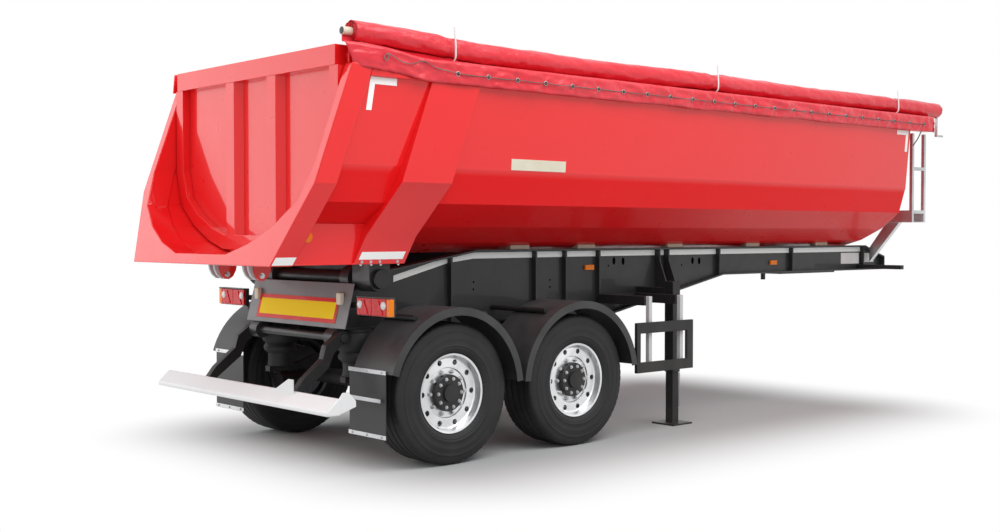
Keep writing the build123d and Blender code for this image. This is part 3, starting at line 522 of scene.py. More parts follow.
def row_of(tree, group_in):
    """Points in a row along X, Count of them, Spread apart."""
    line = tree.nodes.new("GeometryNodeMeshLine")
    step = tree.nodes.new("ShaderNodeCombineXYZ")
    tree.links.new(group_in.outputs["Count"], line.inputs["Count"])
    tree.links.new(group_in.outputs["Spread"], step.inputs["X"])
    tree.links.new(step.outputs[0], line.inputs["Offset"])
    return line.outputs["Mesh"]


NUT_INPUTS = (("Count", "NodeSocketInt"), ("Spread", "NodeSocketFloat"), ("Nut Radius", "NodeSocketFloat"),
              ("Nut Height", "NodeSocketFloat"), ("Finish", "NodeSocketMaterial"))
nut_ring, ring_in, ring_out = start_tree("nut_ring", NUT_INPUTS)
ring_points = nut_ring.nodes.new("GeometryNodeMeshCircle")
nut_ring.links.new(ring_in.outputs["Count"], ring_points.inputs["Vertices"])
nut_ring.links.new(ring_in.outputs["Spread"], ring_points.inputs["Radius"])
end_tree(nut_ring, ring_points.outputs["Mesh"], nut_of(nut_ring, ring_in), ring_in, ring_out)

nut_row, row_in, row_out = start_tree("nut_row", NUT_INPUTS)
end_tree(nut_row, row_of(nut_row, row_in), nut_of(nut_row, row_in), row_in, row_out)


def grow(tree, finish, places, **sizes):
    """The tree's result as one plain mesh, once for each place matrix."""
    seed = bpy.data.objects.new("seed", bpy.data.meshes.new("seed"))
    scene.collection.objects.link(seed)
    nodes = seed.modifiers.new("grow", "NODES")
    nodes.node_group = tree
    for socket in tree.interface.items_tree:
        if socket.in_out == "INPUT":
            key = socket.name.lower().replace(" ", "_")
            nodes[socket.identifier] = finish if key == "finish" else sizes[key]
    made = bpy.data.meshes.new_from_object(seed.evaluated_get(bpy.context.evaluated_depsgraph_get()))
    shape = bmesh.new()
    for place in places:
        copy = made.copy()
        copy.transform(place)
        shape.from_mesh(copy)
        bpy.data.meshes.remove(copy)
    bpy.data.objects.remove(seed)
    return mesh_of(shape, "grown")


def fasten(name, body, tree, finish, places, **sizes):
    """Fasteners grown at the places, as one piece on a body."""
    return keep_piece(link_piece(name, grow(tree, finish, places, **sizes), finish), body, "galvanised")


def facing(place, outward, along=(1, 0, 0)):
    """A matrix that moves local Z to outward and local X to along, at place."""
    z = Vector(outward).normalized()
    y = z.cross(Vector(along)).normalized()
    turn = Matrix((y.cross(z), y, z)).transposed()
    return Matrix.Translation(place) @ turn.to_4x4()


print("fastener trees:", len(bpy.data.node_groups))

# %% [markdown]
# A wide single trailer tyre: ribs and grooves round the crown, slots across the shoulders, and a
# sidewall with a few raised rings. All of that is one outline turned round the axle, so a lathe in mesh
# code is the direct way. Every fourth step of the turn sinks the shoulder and so cuts the slots.

# %% Tyres
WHEEL_Y = 1.0275
AXLE_Z = 0.533
WHEELS = {(end, side): Vector((at(x), y * WHEEL_Y, AXLE_Z)) for end, x in (("rear", 0), ("front", 1.31))
          for side, y in (("left", 1), ("right", -1))}
# Distance out from the tyre's middle plane and radius, from the crown to the bead
TYRE_OUTLINE = (
    (0.028, 0.5330), (0.031, 0.5200), (0.039, 0.5200), (0.042, 0.5328), (0.092, 0.5318), (0.095, 0.5190),
    (0.103, 0.5190), (0.106, 0.5312), (0.148, 0.5296), (0.163, 0.5255), (0.174, 0.5130), (0.1785, 0.4980),
    (0.1790, 0.4930), (0.1855, 0.4640), (0.1885, 0.4620), (0.1890, 0.4560), (0.1880, 0.4540),
    (0.1905, 0.4350), (0.1925, 0.4100), (0.1925, 0.4070), (0.1915, 0.4050), (0.1910, 0.3850),
    (0.1885, 0.3620), (0.1895, 0.3600), (0.1885, 0.3550), (0.1860, 0.3530), (0.1830, 0.3440),
    (0.1845, 0.3400), (0.1820, 0.3350), (0.1740, 0.3220), (0.1655, 0.3080), (0.1500, 0.3000),
    (0.1455, 0.2868),
)
TYRE_STEPS = 240
SLOT_EVERY = 4
SLOT_DEPTH = 0.004
TREAD_EDGE = math.radians(38)


def turn_outline(outline, centre, steps, sink):
    """Turns a closed outline of (out, radius) round the axle line through centre, sunk step by step."""
    shape = bmesh.new()
    rings = []
    for step in range(steps):
        angle = math.tau * step / steps
        ring = []
        for out, radius in outline:
            r = radius - sink(step, out)
            across, up = r * math.cos(angle), r * math.sin(angle)
            ring.append(shape.verts.new((centre.x + across, centre.y + out, centre.z + up)))
        rings.append(ring)
    for step in range(steps):
        one, two = rings[step], rings[(step + 1) % steps]
        for place in range(len(outline)):
            nxt = (place + 1) % len(outline)
            shape.faces.new((one[place], one[nxt], two[nxt], two[place]))
    bmesh.ops.recalc_face_normals(shape, faces=shape.faces)
    mesh = mesh_of(shape, "turned")
    mesh.shade_smooth()
    mesh.set_sharp_from_angle(angle=TREAD_EDGE)
    return mesh


def shoulder_slot(step, out):
    """How far the tread sinks at one step of the turn."""
    on_shoulder = 0.140 < abs(out) < 0.177
    return SLOT_DEPTH if on_shoulder and step % SLOT_EVERY == 0 else 0


BOTH_HALVES = TYRE_OUTLINE + tuple((-out, r) for out, r in reversed(TYRE_OUTLINE))
for (end, side), centre in WHEELS.items():
    tread = turn_outline(BOTH_HALVES, centre, TYRE_STEPS, shoulder_slot)
    tyre = link_piece(f"tyre_{end}_{side}_tread", tread, tyre_rubber)
    keep_piece(tyre, f"wheel_{end}_{side}", "tyre_rubber", f"tyre_{end}_{side}")
print("tyres:", len(WHEELS), "faces each:", len(tyre.data.polygons))

# %% [markdown]
# The wheel is a forged and polished disc with ten hand holes, ten nuts, and a black hub in its middle.
# Its solid is right, so the copy keeps its shape. The hub's faces get the black finish, and the faces at
# the back the dark steel. Nuts and hub bolts come from the ring tree, one mesh each for every wheel.

# %% Rims, nuts and hub bolts
HUB_R = 0.1405
HUB_FROM = 0.0905
BACK_TO = 0.06
# Name, distance out from the wheel's middle, circle radius, nut radius and nut height
RINGS = (("wheel_nuts", 0.0915, 0.1625, 0.0145, 0.022), ("hub_bolts", 0.1345, 0.110, 0.0105, 0.012))
for (end, side), centre in WHEELS.items():
    out = 1 if side == "left" else -1
    body = f"wheel_{end}_{side}"
    rim = soft_copy(f"rim_{end}_{side}", body, "polished_aluminium", wheel_alloy, 0.003)
    rim.data.materials.append(running_black)
    rim.data.materials.append(dark_steel)
    for face in rim.data.polygons:
        spots = [rim.data.vertices[place].co - centre for place in face.vertices]
        if all(math.hypot(spot.x, spot.z) < HUB_R and spot.y * out > HUB_FROM for spot in spots):
            face.material_index = 1
        elif all(spot.y * out < BACK_TO for spot in spots):
            face.material_index = 2
    for name, reach, circle, radius, height in RINGS:
        seat = facing(centre + Vector((0, out * reach, 0)), (0, out, 0))
        fasten(f"{name}_{end}_{side}", body, nut_ring, zinc, [seat], count=10, spread=circle,
               nut_radius=radius, nut_height=height)
print("rims, nuts and hub bolts on", len(WHEELS), "wheels")

# %% [markdown]
# The tarpaulin is one sheet: it is laced to the rail along its lower edge, turns over the rail, and the
# rest of it is wound up on a tube. A cloth simulation of a tight roll gains little, so the sheet's
# cross-section is written as a flap and a spiral, swept along the trailer, and moved in code: it sags
# between its holding rods, is pinched at them, and wrinkles between the eyelets.

# %% Rolled tarpaulin
ROLL_REAR, ROLL_FRONT = -0.88, 6.98
FLAP_TAIL, FLAP_FRONT = 0.13, 6.70
ROLL_Y, ROLL_Z = -1.150, 3.080
ROLL_R = 0.086
ROLL_PITCH = 0.009
ROLL_TURNS = 6
OUTER_STEPS, INNER_STEPS = 26, 9
SHEET_STEPS = 420
ROD_PLACES = (-0.005, 3.055, 6.060)
EYELET_Z = 2.893
EYELET_FIRST, EYELET_PITCH, EYELET_COUNT = -0.018, 0.2965, 23
# Flap outline (y, z) from its lower edge up and in over the rail, and the number of points along it
FLAP_POINTS = 17
FLAP_OUTLINE = ((-1.2730, 2.815), (-1.2735, 2.853), (-1.2745, 2.893), (-1.2745, 2.920), (-1.2750, 2.948),
                (-1.2740, 2.968), (-1.2640, 2.9830), (-1.2420, 2.9865), (-1.2100, 2.9865))


def smooth_step(value, low, high):
    """0 below low, 1 above high, and an even curve between them."""
    share = min(1, max(0, (value - low) / (high - low)))
    return share * share * (3 - 2 * share)


def roll_centre(x):
    """Height of the roll's middle: it is lifted at its rear end and sags between the rods."""
    lift = 0.055 * (1 - smooth_step(x, -0.9, 0.5))
    span = min(abs(x - rod) for rod in ROD_PLACES)
    sag = 0.010 * smooth_step(span, 0.0, 1.5)
    return ROLL_Z + lift - sag


def ridge(place):
    """A sharp crease: 1 on the lines where the noise is nought, falling off to 0 beside them."""
    return max(0, 1 - abs(noise.noise(Vector(place))) / 0.22)


def roll_swell(x, angle):
    """How much the roll's radius is swelled by wrinkles, or pinched by a rod."""
    across, up = math.cos(angle), math.sin(angle)
    wave = noise.noise(Vector((x * 1.1, 1.6 * across, 1.6 * up)))
    fold = noise.noise(Vector((x * 5.0 + 2.2 * up, 2.5 * across, 4.0)))
    pinch = sum(math.exp(-((x - rod) / 0.05) ** 2) for rod in ROD_PLACES)
    near_rod = sum(math.exp(-((x - rod) / 0.28) ** 2) for rod in ROD_PLACES)
    crease = ridge((x * 3.2 + 1.5 * across, 1.3 * up + x * 0.6, 9.0))
    bunch = ridge((x * 9.0 + 2.0 * across, 2.2 * up, 2.0)) * near_rod
    return 1 + 0.07 * wave + 0.05 * fold - 0.060 * crease - 0.12 * bunch - 0.12 * pinch


def flap_place(step):
    """The point (y, z) of the flap's outline at one of its even steps, and its place along the corners."""
    place = step * (len(FLAP_OUTLINE) - 1) / (FLAP_POINTS - 1)
    corner = min(int(place), len(FLAP_OUTLINE) - 2)
    (y0, z0), (y1, z1) = FLAP_OUTLINE[corner:corner + 2]
    share = place - corner
    return y0 + (y1 - y0) * share, z0 + (z1 - z0) * share, place


def eyelet_folds(x, z):
    """Creases that fan out from the nearest eyelet."""
    number = round((x - EYELET_FIRST) / EYELET_PITCH)
    along, up = x - EYELET_FIRST - number * EYELET_PITCH, z - EYELET_Z
    reach = math.hypot(along, up)
    fan = math.cos(5 * math.atan2(up, along) + 2.4 * number)
    return 0.013 * max(0, fan) * smooth_step(reach, 0.012, 0.05) * math.exp(-reach / 0.09)


def sheet_section(x):
    """The points (y, z) of the sheet's cross-section at x, from the flap's edge to the roll's core."""
    points = []
    middle = roll_centre(x)
    loose = 1 - smooth_step(x, -0.80, -0.22)
    lift = middle - ROLL_Z + 0.010
    for y, z, place in map(flap_place, range(FLAP_POINTS)):
        hem = 1 - smooth_step(place, 1, 7)
        eyelet = abs((x - EYELET_FIRST) / EYELET_PITCH % 1 - 0.5) * 2
        ripple = noise.noise(Vector((x * 4.0 + z * 9.0, z * 14.0, 1.0))) * 0.020 * (1 - 0.8 * eyelet ** 4)
        ripple *= 1 - 0.7 * math.exp(-((z - EYELET_Z) / 0.025) ** 2)
        crease = 0.009 * ridge((x * 5.0 - z * 7.0, z * 6.0, 3.0))
        pucker = 0.008 * (1 - smooth_step(eyelet, 0.2, 0.95)) * max(0, 1 - abs(z - EYELET_Z) / 0.1)
        rise = noise.noise(Vector((x * 2.0, 7.0, 0.0))) * 0.008 * hem
        proud = max(0, ripple + crease + pucker + eyelet_folds(x, z)) * (1 - smooth_step(place, 4.5, 6.0))
        rear_end = 1 - smooth_step(x, -0.90, -0.74)
        up = loose * (0.058 * hem + max(0, lift) * (1 - hem))
        points.append((y - proud + 0.020 * rear_end, z + rise + up))
    turns = [step / OUTER_STEPS for step in range(OUTER_STEPS + 8)]
    turns += [turns[-1] + step / INNER_STEPS for step in range(1, INNER_STEPS * (ROLL_TURNS - 2) + 8)]
    for turn in turns:
        angle = math.radians(258) + math.tau * turn
        radius = (ROLL_R - ROLL_PITCH * turn) * roll_swell(x, angle)
        across, rise = radius * math.cos(angle), radius * math.sin(angle)
        # The inner underside lies squashed at the rear end, clear of the tailgate's top beam
        if rise < 0:
            rise *= 1 - 0.68 * (1 - smooth_step(x, -0.72, -0.48)) * smooth_step(across, -0.022, -0.004)
        points.append((ROLL_Y + across, middle + rise))
    return points


def sweep_sheet():
    """The whole sheet as one surface; the flap trails at the rear and stops short of the roll in front."""
    shape = bmesh.new()
    rows = []
    for step in range(SHEET_STEPS + 1):
        x = ROLL_REAR + (ROLL_FRONT - ROLL_REAR) * step / SHEET_STEPS
        tail = FLAP_TAIL * (1 - smooth_step(x, ROLL_REAR, -0.55))
        row = []
        for place, (y, z) in enumerate(sheet_section(x)):
            share = smooth_step(place, FLAP_POINTS - 5, FLAP_POINTS + 8)
            flap_x = min(x, FLAP_FRONT) - tail * (0.4 + 0.6 * min(1, place / 12))
            row.append(shape.verts.new((at(flap_x + (x - flap_x) * share), y, z)))
        rows.append(row)
    for one, two in zip(rows, rows[1:]):
        for a, b, c, d in zip(one, one[1:], two[1:], two):
            if (a.co - d.co).length > 1e-6:
                shape.faces.new((a, b, c, d))
    bmesh.ops.remove_doubles(shape, verts=shape.verts, dist=1e-6)
    mesh = mesh_of(shape, "tarpaulin")
    mesh.shade_smooth()
    return mesh


tarpaulin = link_piece("tarpaulin", sweep_sheet(), tarp_red)
thick = tarpaulin.modifiers.new("sheet_thickness", "SOLIDIFY")
thick.thickness = 0.0012
keep_piece(tarpaulin, "tipper_body", "tarp_fabric", "tarp")

# %% [markdown]
# Eyelets hold a grey lacing line along the flap. A third tree puts a ring on every point of a row: a
# curve circle swept with a small profile. The line itself follows the eyelets, and its loose tail hangs
# at the rear, so it is a curve through a few points rather than a straight bar.

# %% Eyelets and lacing
eyelet_row, eye_in, eye_out = start_tree("eyelet_row", (
    ("Count", "NodeSocketInt"), ("Spread", "NodeSocketFloat"), ("Ring Radius", "NodeSocketFloat"),
    ("Wire Radius", "NodeSocketFloat"), ("Finish", "NodeSocketMaterial")))
eye_mesh = eyelet_row.nodes.new("GeometryNodeCurveToMesh")
for label, sides, socket in (("Ring Radius", 20, "Curve"), ("Wire Radius", 8, "Profile Curve")):
    circle = add_node(eyelet_row, "GeometryNodeCurvePrimitiveCircle", Resolution=sides)
    eyelet_row.links.new(eye_in.outputs[label], circle.inputs["Radius"])
    eyelet_row.links.new(circle.outputs["Curve"], eye_mesh.inputs[socket])
end_tree(eyelet_row, row_of(eyelet_row, eye_in), eye_mesh.outputs["Mesh"], eye_in, eye_out)

EYELET_FACE_Y = -1.2850
eyelet_place = facing((at(EYELET_FIRST), EYELET_FACE_Y, EYELET_Z), (0, -1, 0))
eyelets = fasten("tarp_eyelets", "tipper_body", eyelet_row, zinc, [eyelet_place], count=EYELET_COUNT,
                 spread=EYELET_PITCH, ring_radius=0.0165, wire_radius=0.0026)
eyelets.data.shade_smooth()
# Painted shade: a small black stack inside each ring stands for the dark of the eyelet's hole.
fasten("tarp_buttons", "tipper_body", nut_row, guard_black, [eyelet_place], count=EYELET_COUNT,
       spread=EYELET_PITCH, nut_radius=0.0125, nut_height=0.006)


def line_tube(name, body, points, radius, finish):
    """A round line along a smooth curve with those control points (x, y, z), as a piece on a body."""
    data = bpy.data.curves.new(name, "CURVE")
    data.dimensions = "3D"
    data.resolution_u = 6
    data.bevel_depth = radius
    data.bevel_resolution = 3
    data.use_fill_caps = True
    spline = data.splines.new("NURBS")
    spline.points.add(len(points) - 1)
    for control, (x, y, z) in zip(spline.points, points):
        control.co = (at(x), y, z, 1)
    spline.order_u = 3
    spline.use_endpoint_u = True
    guide = bpy.data.objects.new(name, data)
    scene.collection.objects.link(guide)
    mesh = bpy.data.meshes.new_from_object(guide.evaluated_get(bpy.context.evaluated_depsgraph_get()))
    bpy.data.objects.remove(guide)
    mesh.shade_smooth()
    return keep_piece(link_piece(name, mesh, finish), body, "galvanised")


LACE_Y = -1.2960
LACE_R = 0.0035
lace_points = []
for count in range(EYELET_COUNT):
    x = EYELET_FIRST + EYELET_PITCH * count
    lace_points.append((x, LACE_Y, EYELET_Z))
    if count < EYELET_COUNT - 1:
        lace_points.append((x + EYELET_PITCH / 2, LACE_Y + 0.004, EYELET_Z - 0.006))
line_tube("tarp_lacing", "tipper_body", lace_points, LACE_R, rope_grey)
LACE_TAIL = ((-0.018, EYELET_Z), (-0.12, 2.905), (-0.24, 2.915), (-0.30, 2.945), (-0.36, 2.960),
             (-0.44, 2.925), (-0.52, 2.925), (-0.60, 2.955), (-0.66, 2.985), (-0.70, 2.960), (-0.69, 2.925),
             (-0.655, 2.945), (-0.66, 2.985))
line_tube("tarp_lacing_tail", "tipper_body", [(x, LACE_Y, z) for x, z in LACE_TAIL], LACE_R, rope_grey)
print("eyelets:", EYELET_COUNT)

# %% [markdown]
# Three white rods stand on the rail and hook over the roll, and the wind-up tube sticks out of the roll
# at the rear with a dark end disc.

# %% Holding rods and tube end
ROD_TOP = 3.25
TUBE_REAR = -0.955
for number, x in enumerate(ROD_PLACES, 1):
    top = roll_centre(x) + ROLL_R
    bends = ((-1.205, 2.985), (-1.238, 3.000), (-1.242, 3.060), (-1.238, top - 0.03), (-1.230, top + 0.04),
             (-1.230, min(top + 0.06, ROD_TOP)))
    line_tube(f"holding_rod_{number}", "tipper_body", [(x, y, z) for y, z in bends], 0.007, strap_white)
tube_z = roll_centre(ROLL_REAR)
tube_points = [(x, ROLL_Y, tube_z) for x in (-0.70, -0.80, TUBE_REAR)]
line_tube("wind_up_tube", "tipper_body", tube_points, 0.030, cream_plastic)
tube_place = facing((at(TUBE_REAR), ROLL_Y, tube_z), (-1, 0, 0), (0, 1, 0))
fasten("tube_end", "tipper_body", nut_row, guard_black, [tube_place], count=1, spread=0.0, nut_radius=0.020,
       nut_height=0.0015)
print("holding rods:", len(ROD_PLACES))

# %% [markdown]
# Many small fittings are plates, bars and brackets. A few helpers build them straight into one mesh: a
# box between two corners, an outline pushed along a vector, an upright plate, a round bar between two
# points and a low dome. The finished mesh gets its normals turned outwards and a small bevel.

# %% Plate and bar helpers


def add_box(shape, low, high):
    """A box between two corners."""
    corners = [shape.verts.new((x, y, z)) for x in (low[0], high[0]) for y in (low[1], high[1])
               for z in (low[2], high[2])]
    for face in ((0, 1, 3, 2), (4, 6, 7, 5), (0, 4, 5, 1), (2, 3, 7, 6), (0, 2, 6, 4), (1, 5, 7, 3)):
        shape.faces.new([corners[place] for place in face])


def add_prism(shape, outline, push):
    """A closed outline of points, pushed along a vector."""
    near = [shape.verts.new(point) for point in outline]
    far = [shape.verts.new(Vector(point) + Vector(push)) for point in outline]
    shape.faces.new(near)
    shape.faces.new(far[::-1])
    for place in range(len(near)):
        nxt = (place + 1) % len(near)
        shape.faces.new((near[place], far[place], far[nxt], near[nxt]))


def add_plate(shape, y, outline, thick):
    """An upright plate along the trailer: an outline of (x, z) at y, with a thickness along y."""
    add_prism(shape, [(at(x), y, z) for x, z in outline], (0, thick, 0))


def add_bar(shape, start, end, radius, sides=20):
    """A round bar between two points."""
    start, end = Vector(start), Vector(end)
    along = (end - start).normalized()
    across = along.orthogonal().normalized()
    other = along.cross(across)
    ring = [radius * (math.cos(math.tau * k / sides) * across + math.sin(math.tau * k / sides) * other)
            for k in range(sides)]
    add_prism(shape, [start + spot for spot in ring], end - start)


def add_dome(shape, base, outward, radius, height, rings=5, sides=20):
    """A low dome on a flat base."""
    turn = facing(base, outward, Vector(outward).orthogonal())
    last = None
    for step in range(rings):
        angle = math.pi / 2 * step / rings
        ring = [shape.verts.new(turn @ Vector((radius * math.cos(angle) * math.cos(math.tau * k / sides),
                                               radius * math.cos(angle) * math.sin(math.tau * k / sides),
                                               height * math.sin(angle)))) for k in range(sides)]
        if last:
            for k in range(sides):
                shape.faces.new((last[k], last[(k + 1) % sides], ring[(k + 1) % sides], ring[k]))
        else:
            shape.faces.new(ring[::-1])
        last = ring
    top = shape.verts.new(turn @ Vector((0, 0, height)))
    for k in range(sides):
        shape.faces.new((last[k], last[(k + 1) % sides], top))


def end_shape(shape, name, body, slot, finish, width=0.002, nodes=()):
    """The finished mesh as a piece on its body."""
    bmesh.ops.recalc_face_normals(shape, faces=shape.faces)
    return keep_piece(round_edges(link_piece(name, mesh_of(shape, name), finish), width), body, slot, *nodes)


print("plate and bar helpers ready")

# %% [markdown]
# White reflective tape outlines the trailer: along the beams under the top flange, at the feet of the
# rear posts and wide ribs, and as corner marks high on the walls. Each strip is a thin plate laid on the
# sheet behind it, and so is the blank cream sign on the right wall.

# %% Reflective tape and sign
TAPE_T = 0.0012
WEB_FACE = 0.530
STIFFENER_HALF = 0.008
STIFFENERS = (0.508, 1.444, 1.804, 2.226, 3.023, 3.151, 3.928, 5.140, 6.479)
TAPE_TOP = ((-0.06, 1.392), (0.503, 1.535), (0.770, 1.566), (2.300, 1.568), (6.479, 1.568))
TAPE_W = 0.050


def tape_z(x):
    """Upper edge of the beam tape at a place along the beam."""
    for (x0, z0), (x1, z1) in zip(TAPE_TOP, TAPE_TOP[1:]):
        if x <= x1:
            return z0 + (z1 - z0) * (x - x0) / (x1 - x0)


tape_breaks = (-0.06,) + STIFFENERS
for side, word in ((1, "left"), (-1, "right")):
    shape = bmesh.new()
    for start, end in zip(tape_breaks, tape_breaks[1:]):
        places = [start + STIFFENER_HALF + 0.004, end - STIFFENER_HALF - 0.004]
        places[1:1] = [x for x, z in TAPE_TOP[1:-1] if places[0] < x < places[-1]]
        for x0, x1 in zip(places, places[1:]):
            outline = [(at(x), side * WEB_FACE, tape_z(x) - drop) for x, drop in
                       ((x0, 0), (x1, 0), (x1, TAPE_W), (x0, TAPE_W))]
            add_prism(shape, outline, (0, side * TAPE_T, 0))
    end_shape(shape, f"beam_tape_{word}", "chassis", "white_paint", reflex_white, 0.0003)

RAKE, LIP_X, LIP_Z = 0.364, -1.460, 1.497
TAPE_LIFT, WALL_LIFT = 0.0006, 0.0008


def raked(distance, z):
    """The x at a height on the leaning plane a distance forward of the rear lip."""
    return at(distance + LIP_X + RAKE * (z - LIP_Z))


def leaning_patch(shape, side, foot, head, z_low, z_high, d_low, d_high):
    """A thin plate on an outer face that runs from foot to head (y, z), between two raked planes."""
    slope = (head[0] - foot[0]) / (head[1] - foot[1])
    outward = Vector((0, side, -slope)).normalized()
    corners = [Vector((raked(d, z), side * (foot[0] + slope * (z - foot[1])), z)) + outward * TAPE_LIFT
               for d, z in ((d_low, z_low), (d_high, z_low), (d_high, z_high), (d_low, z_high))]
    add_prism(shape, corners, outward * TAPE_T)


POST_FOOT, POST_KNEE = (1.020, 1.497), (1.260, 2.065)
RIB_FOOT, RIB_KNEE = (0.950, 1.500), (1.000, 1.700)
WALL_FOOT_Y, WALL_LEAN = 1.187, 0.0863
REAR_MARK = ((-0.772, 2.818), (-0.545, 2.818), (-0.545, 2.768), (-0.735, 2.768), (-0.756, 2.585),
             (-0.802, 2.585), (-0.778, 2.795))
FRONT_MARK = ((6.040, 2.812), (6.262, 2.812), (6.262, 2.590), (6.217, 2.590), (6.217, 2.765), (6.040, 2.765))
SIGN = ((0.592, 2.212), (1.180, 2.212), (1.180, 2.298), (0.592, 2.298))


def wall_patch(shape, side, outline, lift, thick):
    """A thin plate on the outside of a wall, from an outline of (x, z)."""
    corners = [(at(x), side * (WALL_FOOT_Y + WALL_LEAN * (z - CREASE_Z) + lift), z) for x, z in outline]
    add_prism(shape, corners, (0, side * thick, 0))


for side, word in ((1, "left"), (-1, "right")):
    shape = bmesh.new()
    leaning_patch(shape, side, POST_FOOT, POST_KNEE, 1.506, 1.560, 0.010, 0.175)
    leaning_patch(shape, side, RIB_FOOT, RIB_KNEE, 1.535, 1.590, 0.765, 1.160)
    wall_patch(shape, side, REAR_MARK, WALL_LIFT, TAPE_T)
    wall_patch(shape, side, FRONT_MARK, WALL_LIFT, TAPE_T)
    end_shape(shape, f"body_tape_{word}", "tipper_body", "white_paint", reflex_white, 0.0003)

sign = bmesh.new()
wall_patch(sign, -1, SIGN, 0.0004, 0.003)
end_shape(sign, "blank_sign", "tipper_body", "white_paint", cream_plastic, 0.0006)
print("tape on both sides, sign on the right")

# %% [markdown]
# The yellow warning board has a red border, and each tail lamp is a black case with a red lens, two
# clear domes and an amber end. The board leans with the valance, so its border follows the same slope.

# %% Warning board, tail lamps and plate lamps
board_low, board_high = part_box("hazard_board")
BOARD_LEAN = (0.616 - 0.530) / (1.350 - 1.015)
BORDER_W = 0.030


def on_board(y, z, proud):
    """A point on the board's rear face, proud by a little."""
    return (board_low[0] + BOARD_LEAN * (z - board_low[2]) - proud, y, z)


shape = bmesh.new()
z0, z1, y0, y1 = board_low[2], board_high[2], board_low[1], board_high[1]
for ya, yb, za, zb in ((y0, y1, z0, z0 + BORDER_W), (y0, y1, z1 - BORDER_W, z1),
                       (y0, y0 + BORDER_W, z0 + BORDER_W, z1 - BORDER_W),
                       (y1 - BORDER_W, y1, z0 + BORDER_W, z1 - BORDER_W)):
    corners = ((ya, za), (yb, za), (yb, zb), (ya, zb))
    add_prism(shape, [on_board(y, z, 0.0002) for y, z in corners], (-TAPE_T, 0, 0))
end_shape(shape, "board_border", "chassis", "lamp_red", board_red, 0.0003)
soft_copy("hazard_board", "chassis", "hazard_yellow", board_yellow, 0.002)

LAMP_REAR, LAMP_FRONT = at(-0.590), at(-0.540)
LENS_T, LENS_LOW, LENS_HIGH = 0.016, 1.128, 1.254


def add_lens(shape, side, inner, outer, depth):
    """A lens block of the tail lamp, between two distances from the middle of the trailer."""
    ya, yb = side_pair(side, inner, outer)
    add_box(shape, (LAMP_REAR, ya, LENS_LOW), (LAMP_REAR + depth, yb, LENS_HIGH))


for side, word in ((1, "left"), (-1, "right")):
    case, red, amber, domes = bmesh.new(), bmesh.new(), bmesh.new(), bmesh.new()
    ya, yb = side_pair(side, 0.800, 1.210)
    add_box(case, (LAMP_REAR + LENS_T, ya, 1.122), (LAMP_FRONT, yb, 1.262))
    add_box(case, (LAMP_REAR - 0.004, ya, 1.256), (LAMP_FRONT, yb, 1.266))
    for inner, outer in ((0.806, 0.982), (0.986, 1.164)):
        add_lens(red, side, inner, outer, LENS_T)
        peak = side * (inner + outer) / 2
        add_prism(red, [(LAMP_REAR, peak - 0.055, 1.136), (LAMP_REAR, peak + 0.055, 1.136),
                        (LAMP_REAR, peak, 1.246)], (-0.006, 0, 0))
    for y in (0.842, 1.130):
        add_dome(domes, (LAMP_REAR, side * y, 1.205), (-1, 0, 0), 0.031, 0.012)
    add_lens(amber, side, 1.168, 1.2105, LENS_T + 0.022)
    end_shape(case, f"tail_lamp_case_{word}", "chassis", "guard_plastic", guard_black, 0.003)
    end_shape(red, f"tail_lamp_red_{word}", "chassis", "lamp_red", lens_red, 0.004)
    end_shape(amber, f"tail_lamp_amber_{word}", "chassis", "lamp_amber", lens_amber, 0.003)
    end_shape(domes, f"tail_lamp_domes_{word}", "chassis", "lamp_red", lens_clear, 0.0005)
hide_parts("tail_lamps")

PLATE_LAMP_Z = 1.235
for number, y in enumerate((0.585, -0.585), 1):
    shape = bmesh.new()
    x, y, z = on_board(y, PLATE_LAMP_Z, 0)
    add_box(shape, (x - 0.034, y - 0.028, z - 0.045), (x + 0.006, y + 0.028, z + 0.045))
    end_shape(shape, f"plate_lamp_{number}", "chassis", "guard_plastic", cream_plastic, 0.008)
print("board, tail lamps and plate lamps done")

# %% [markdown]
# Under the lip hang the latch brackets: two red cheeks with a bolt, and a grey hook between them that
# holds the tailgate shut. Cheek and hook are flat outlines with a thickness.

# %% Latch brackets
CHEEK = ((-1.190, 1.566), (-1.010, 1.566), (-1.035, 1.440), (-1.060, 1.395), (-1.095, 1.374), (-1.130, 1.378),
         (-1.155, 1.400), (-1.172, 1.440))
HOOK = ((-1.215, 1.505), (-1.175, 1.505), (-1.165, 1.460), (-1.140, 1.430), (-1.110, 1.420), (-1.090, 1.400),
        (-1.105, 1.378), (-1.150, 1.382), (-1.185, 1.410), (-1.205, 1.450))
LATCH_X, LATCH_Z = at(-1.110), 1.412
cheeks, hooks = bmesh.new(), bmesh.new()
bolt_places = []
for y in (-0.310, 0.190):
    for inner, outer in ((-0.034, -0.016), (0.016, 0.034)):
        add_plate(cheeks, y + inner, CHEEK, outer - inner)
    add_plate(hooks, y - 0.014, HOOK, 0.028)
    add_plate(hooks, y + 0.060, HOOK, 0.022)
    add_bar(hooks, (LATCH_X, y - 0.036, LATCH_Z), (LATCH_X, y + 0.084, LATCH_Z), 0.014)
    bolt_places.append(facing((LATCH_X, y - 0.034, LATCH_Z), (0, -1, 0)))
end_shape(cheeks, "latch_cheeks", "tipper_body", "red_paint", body_red, 0.003, ("latch_hooks",))
end_shape(hooks, "latch_grey_hooks", "tipper_body", "dark_steel", arm_grey, 0.003)
fasten("latch_bolts", "tipper_body", nut_row, zinc, bolt_places, count=1, spread=0.0, nut_radius=0.017,
       nut_height=0.014)
print("latch brackets: 2")

# %% [markdown]
# Between each rear post and wide rib a closing plate runs down from the belly, with a round amber
# reflector on it. Bolt ends show under the rib's foot, and a lug stands on the far corner of the frame.

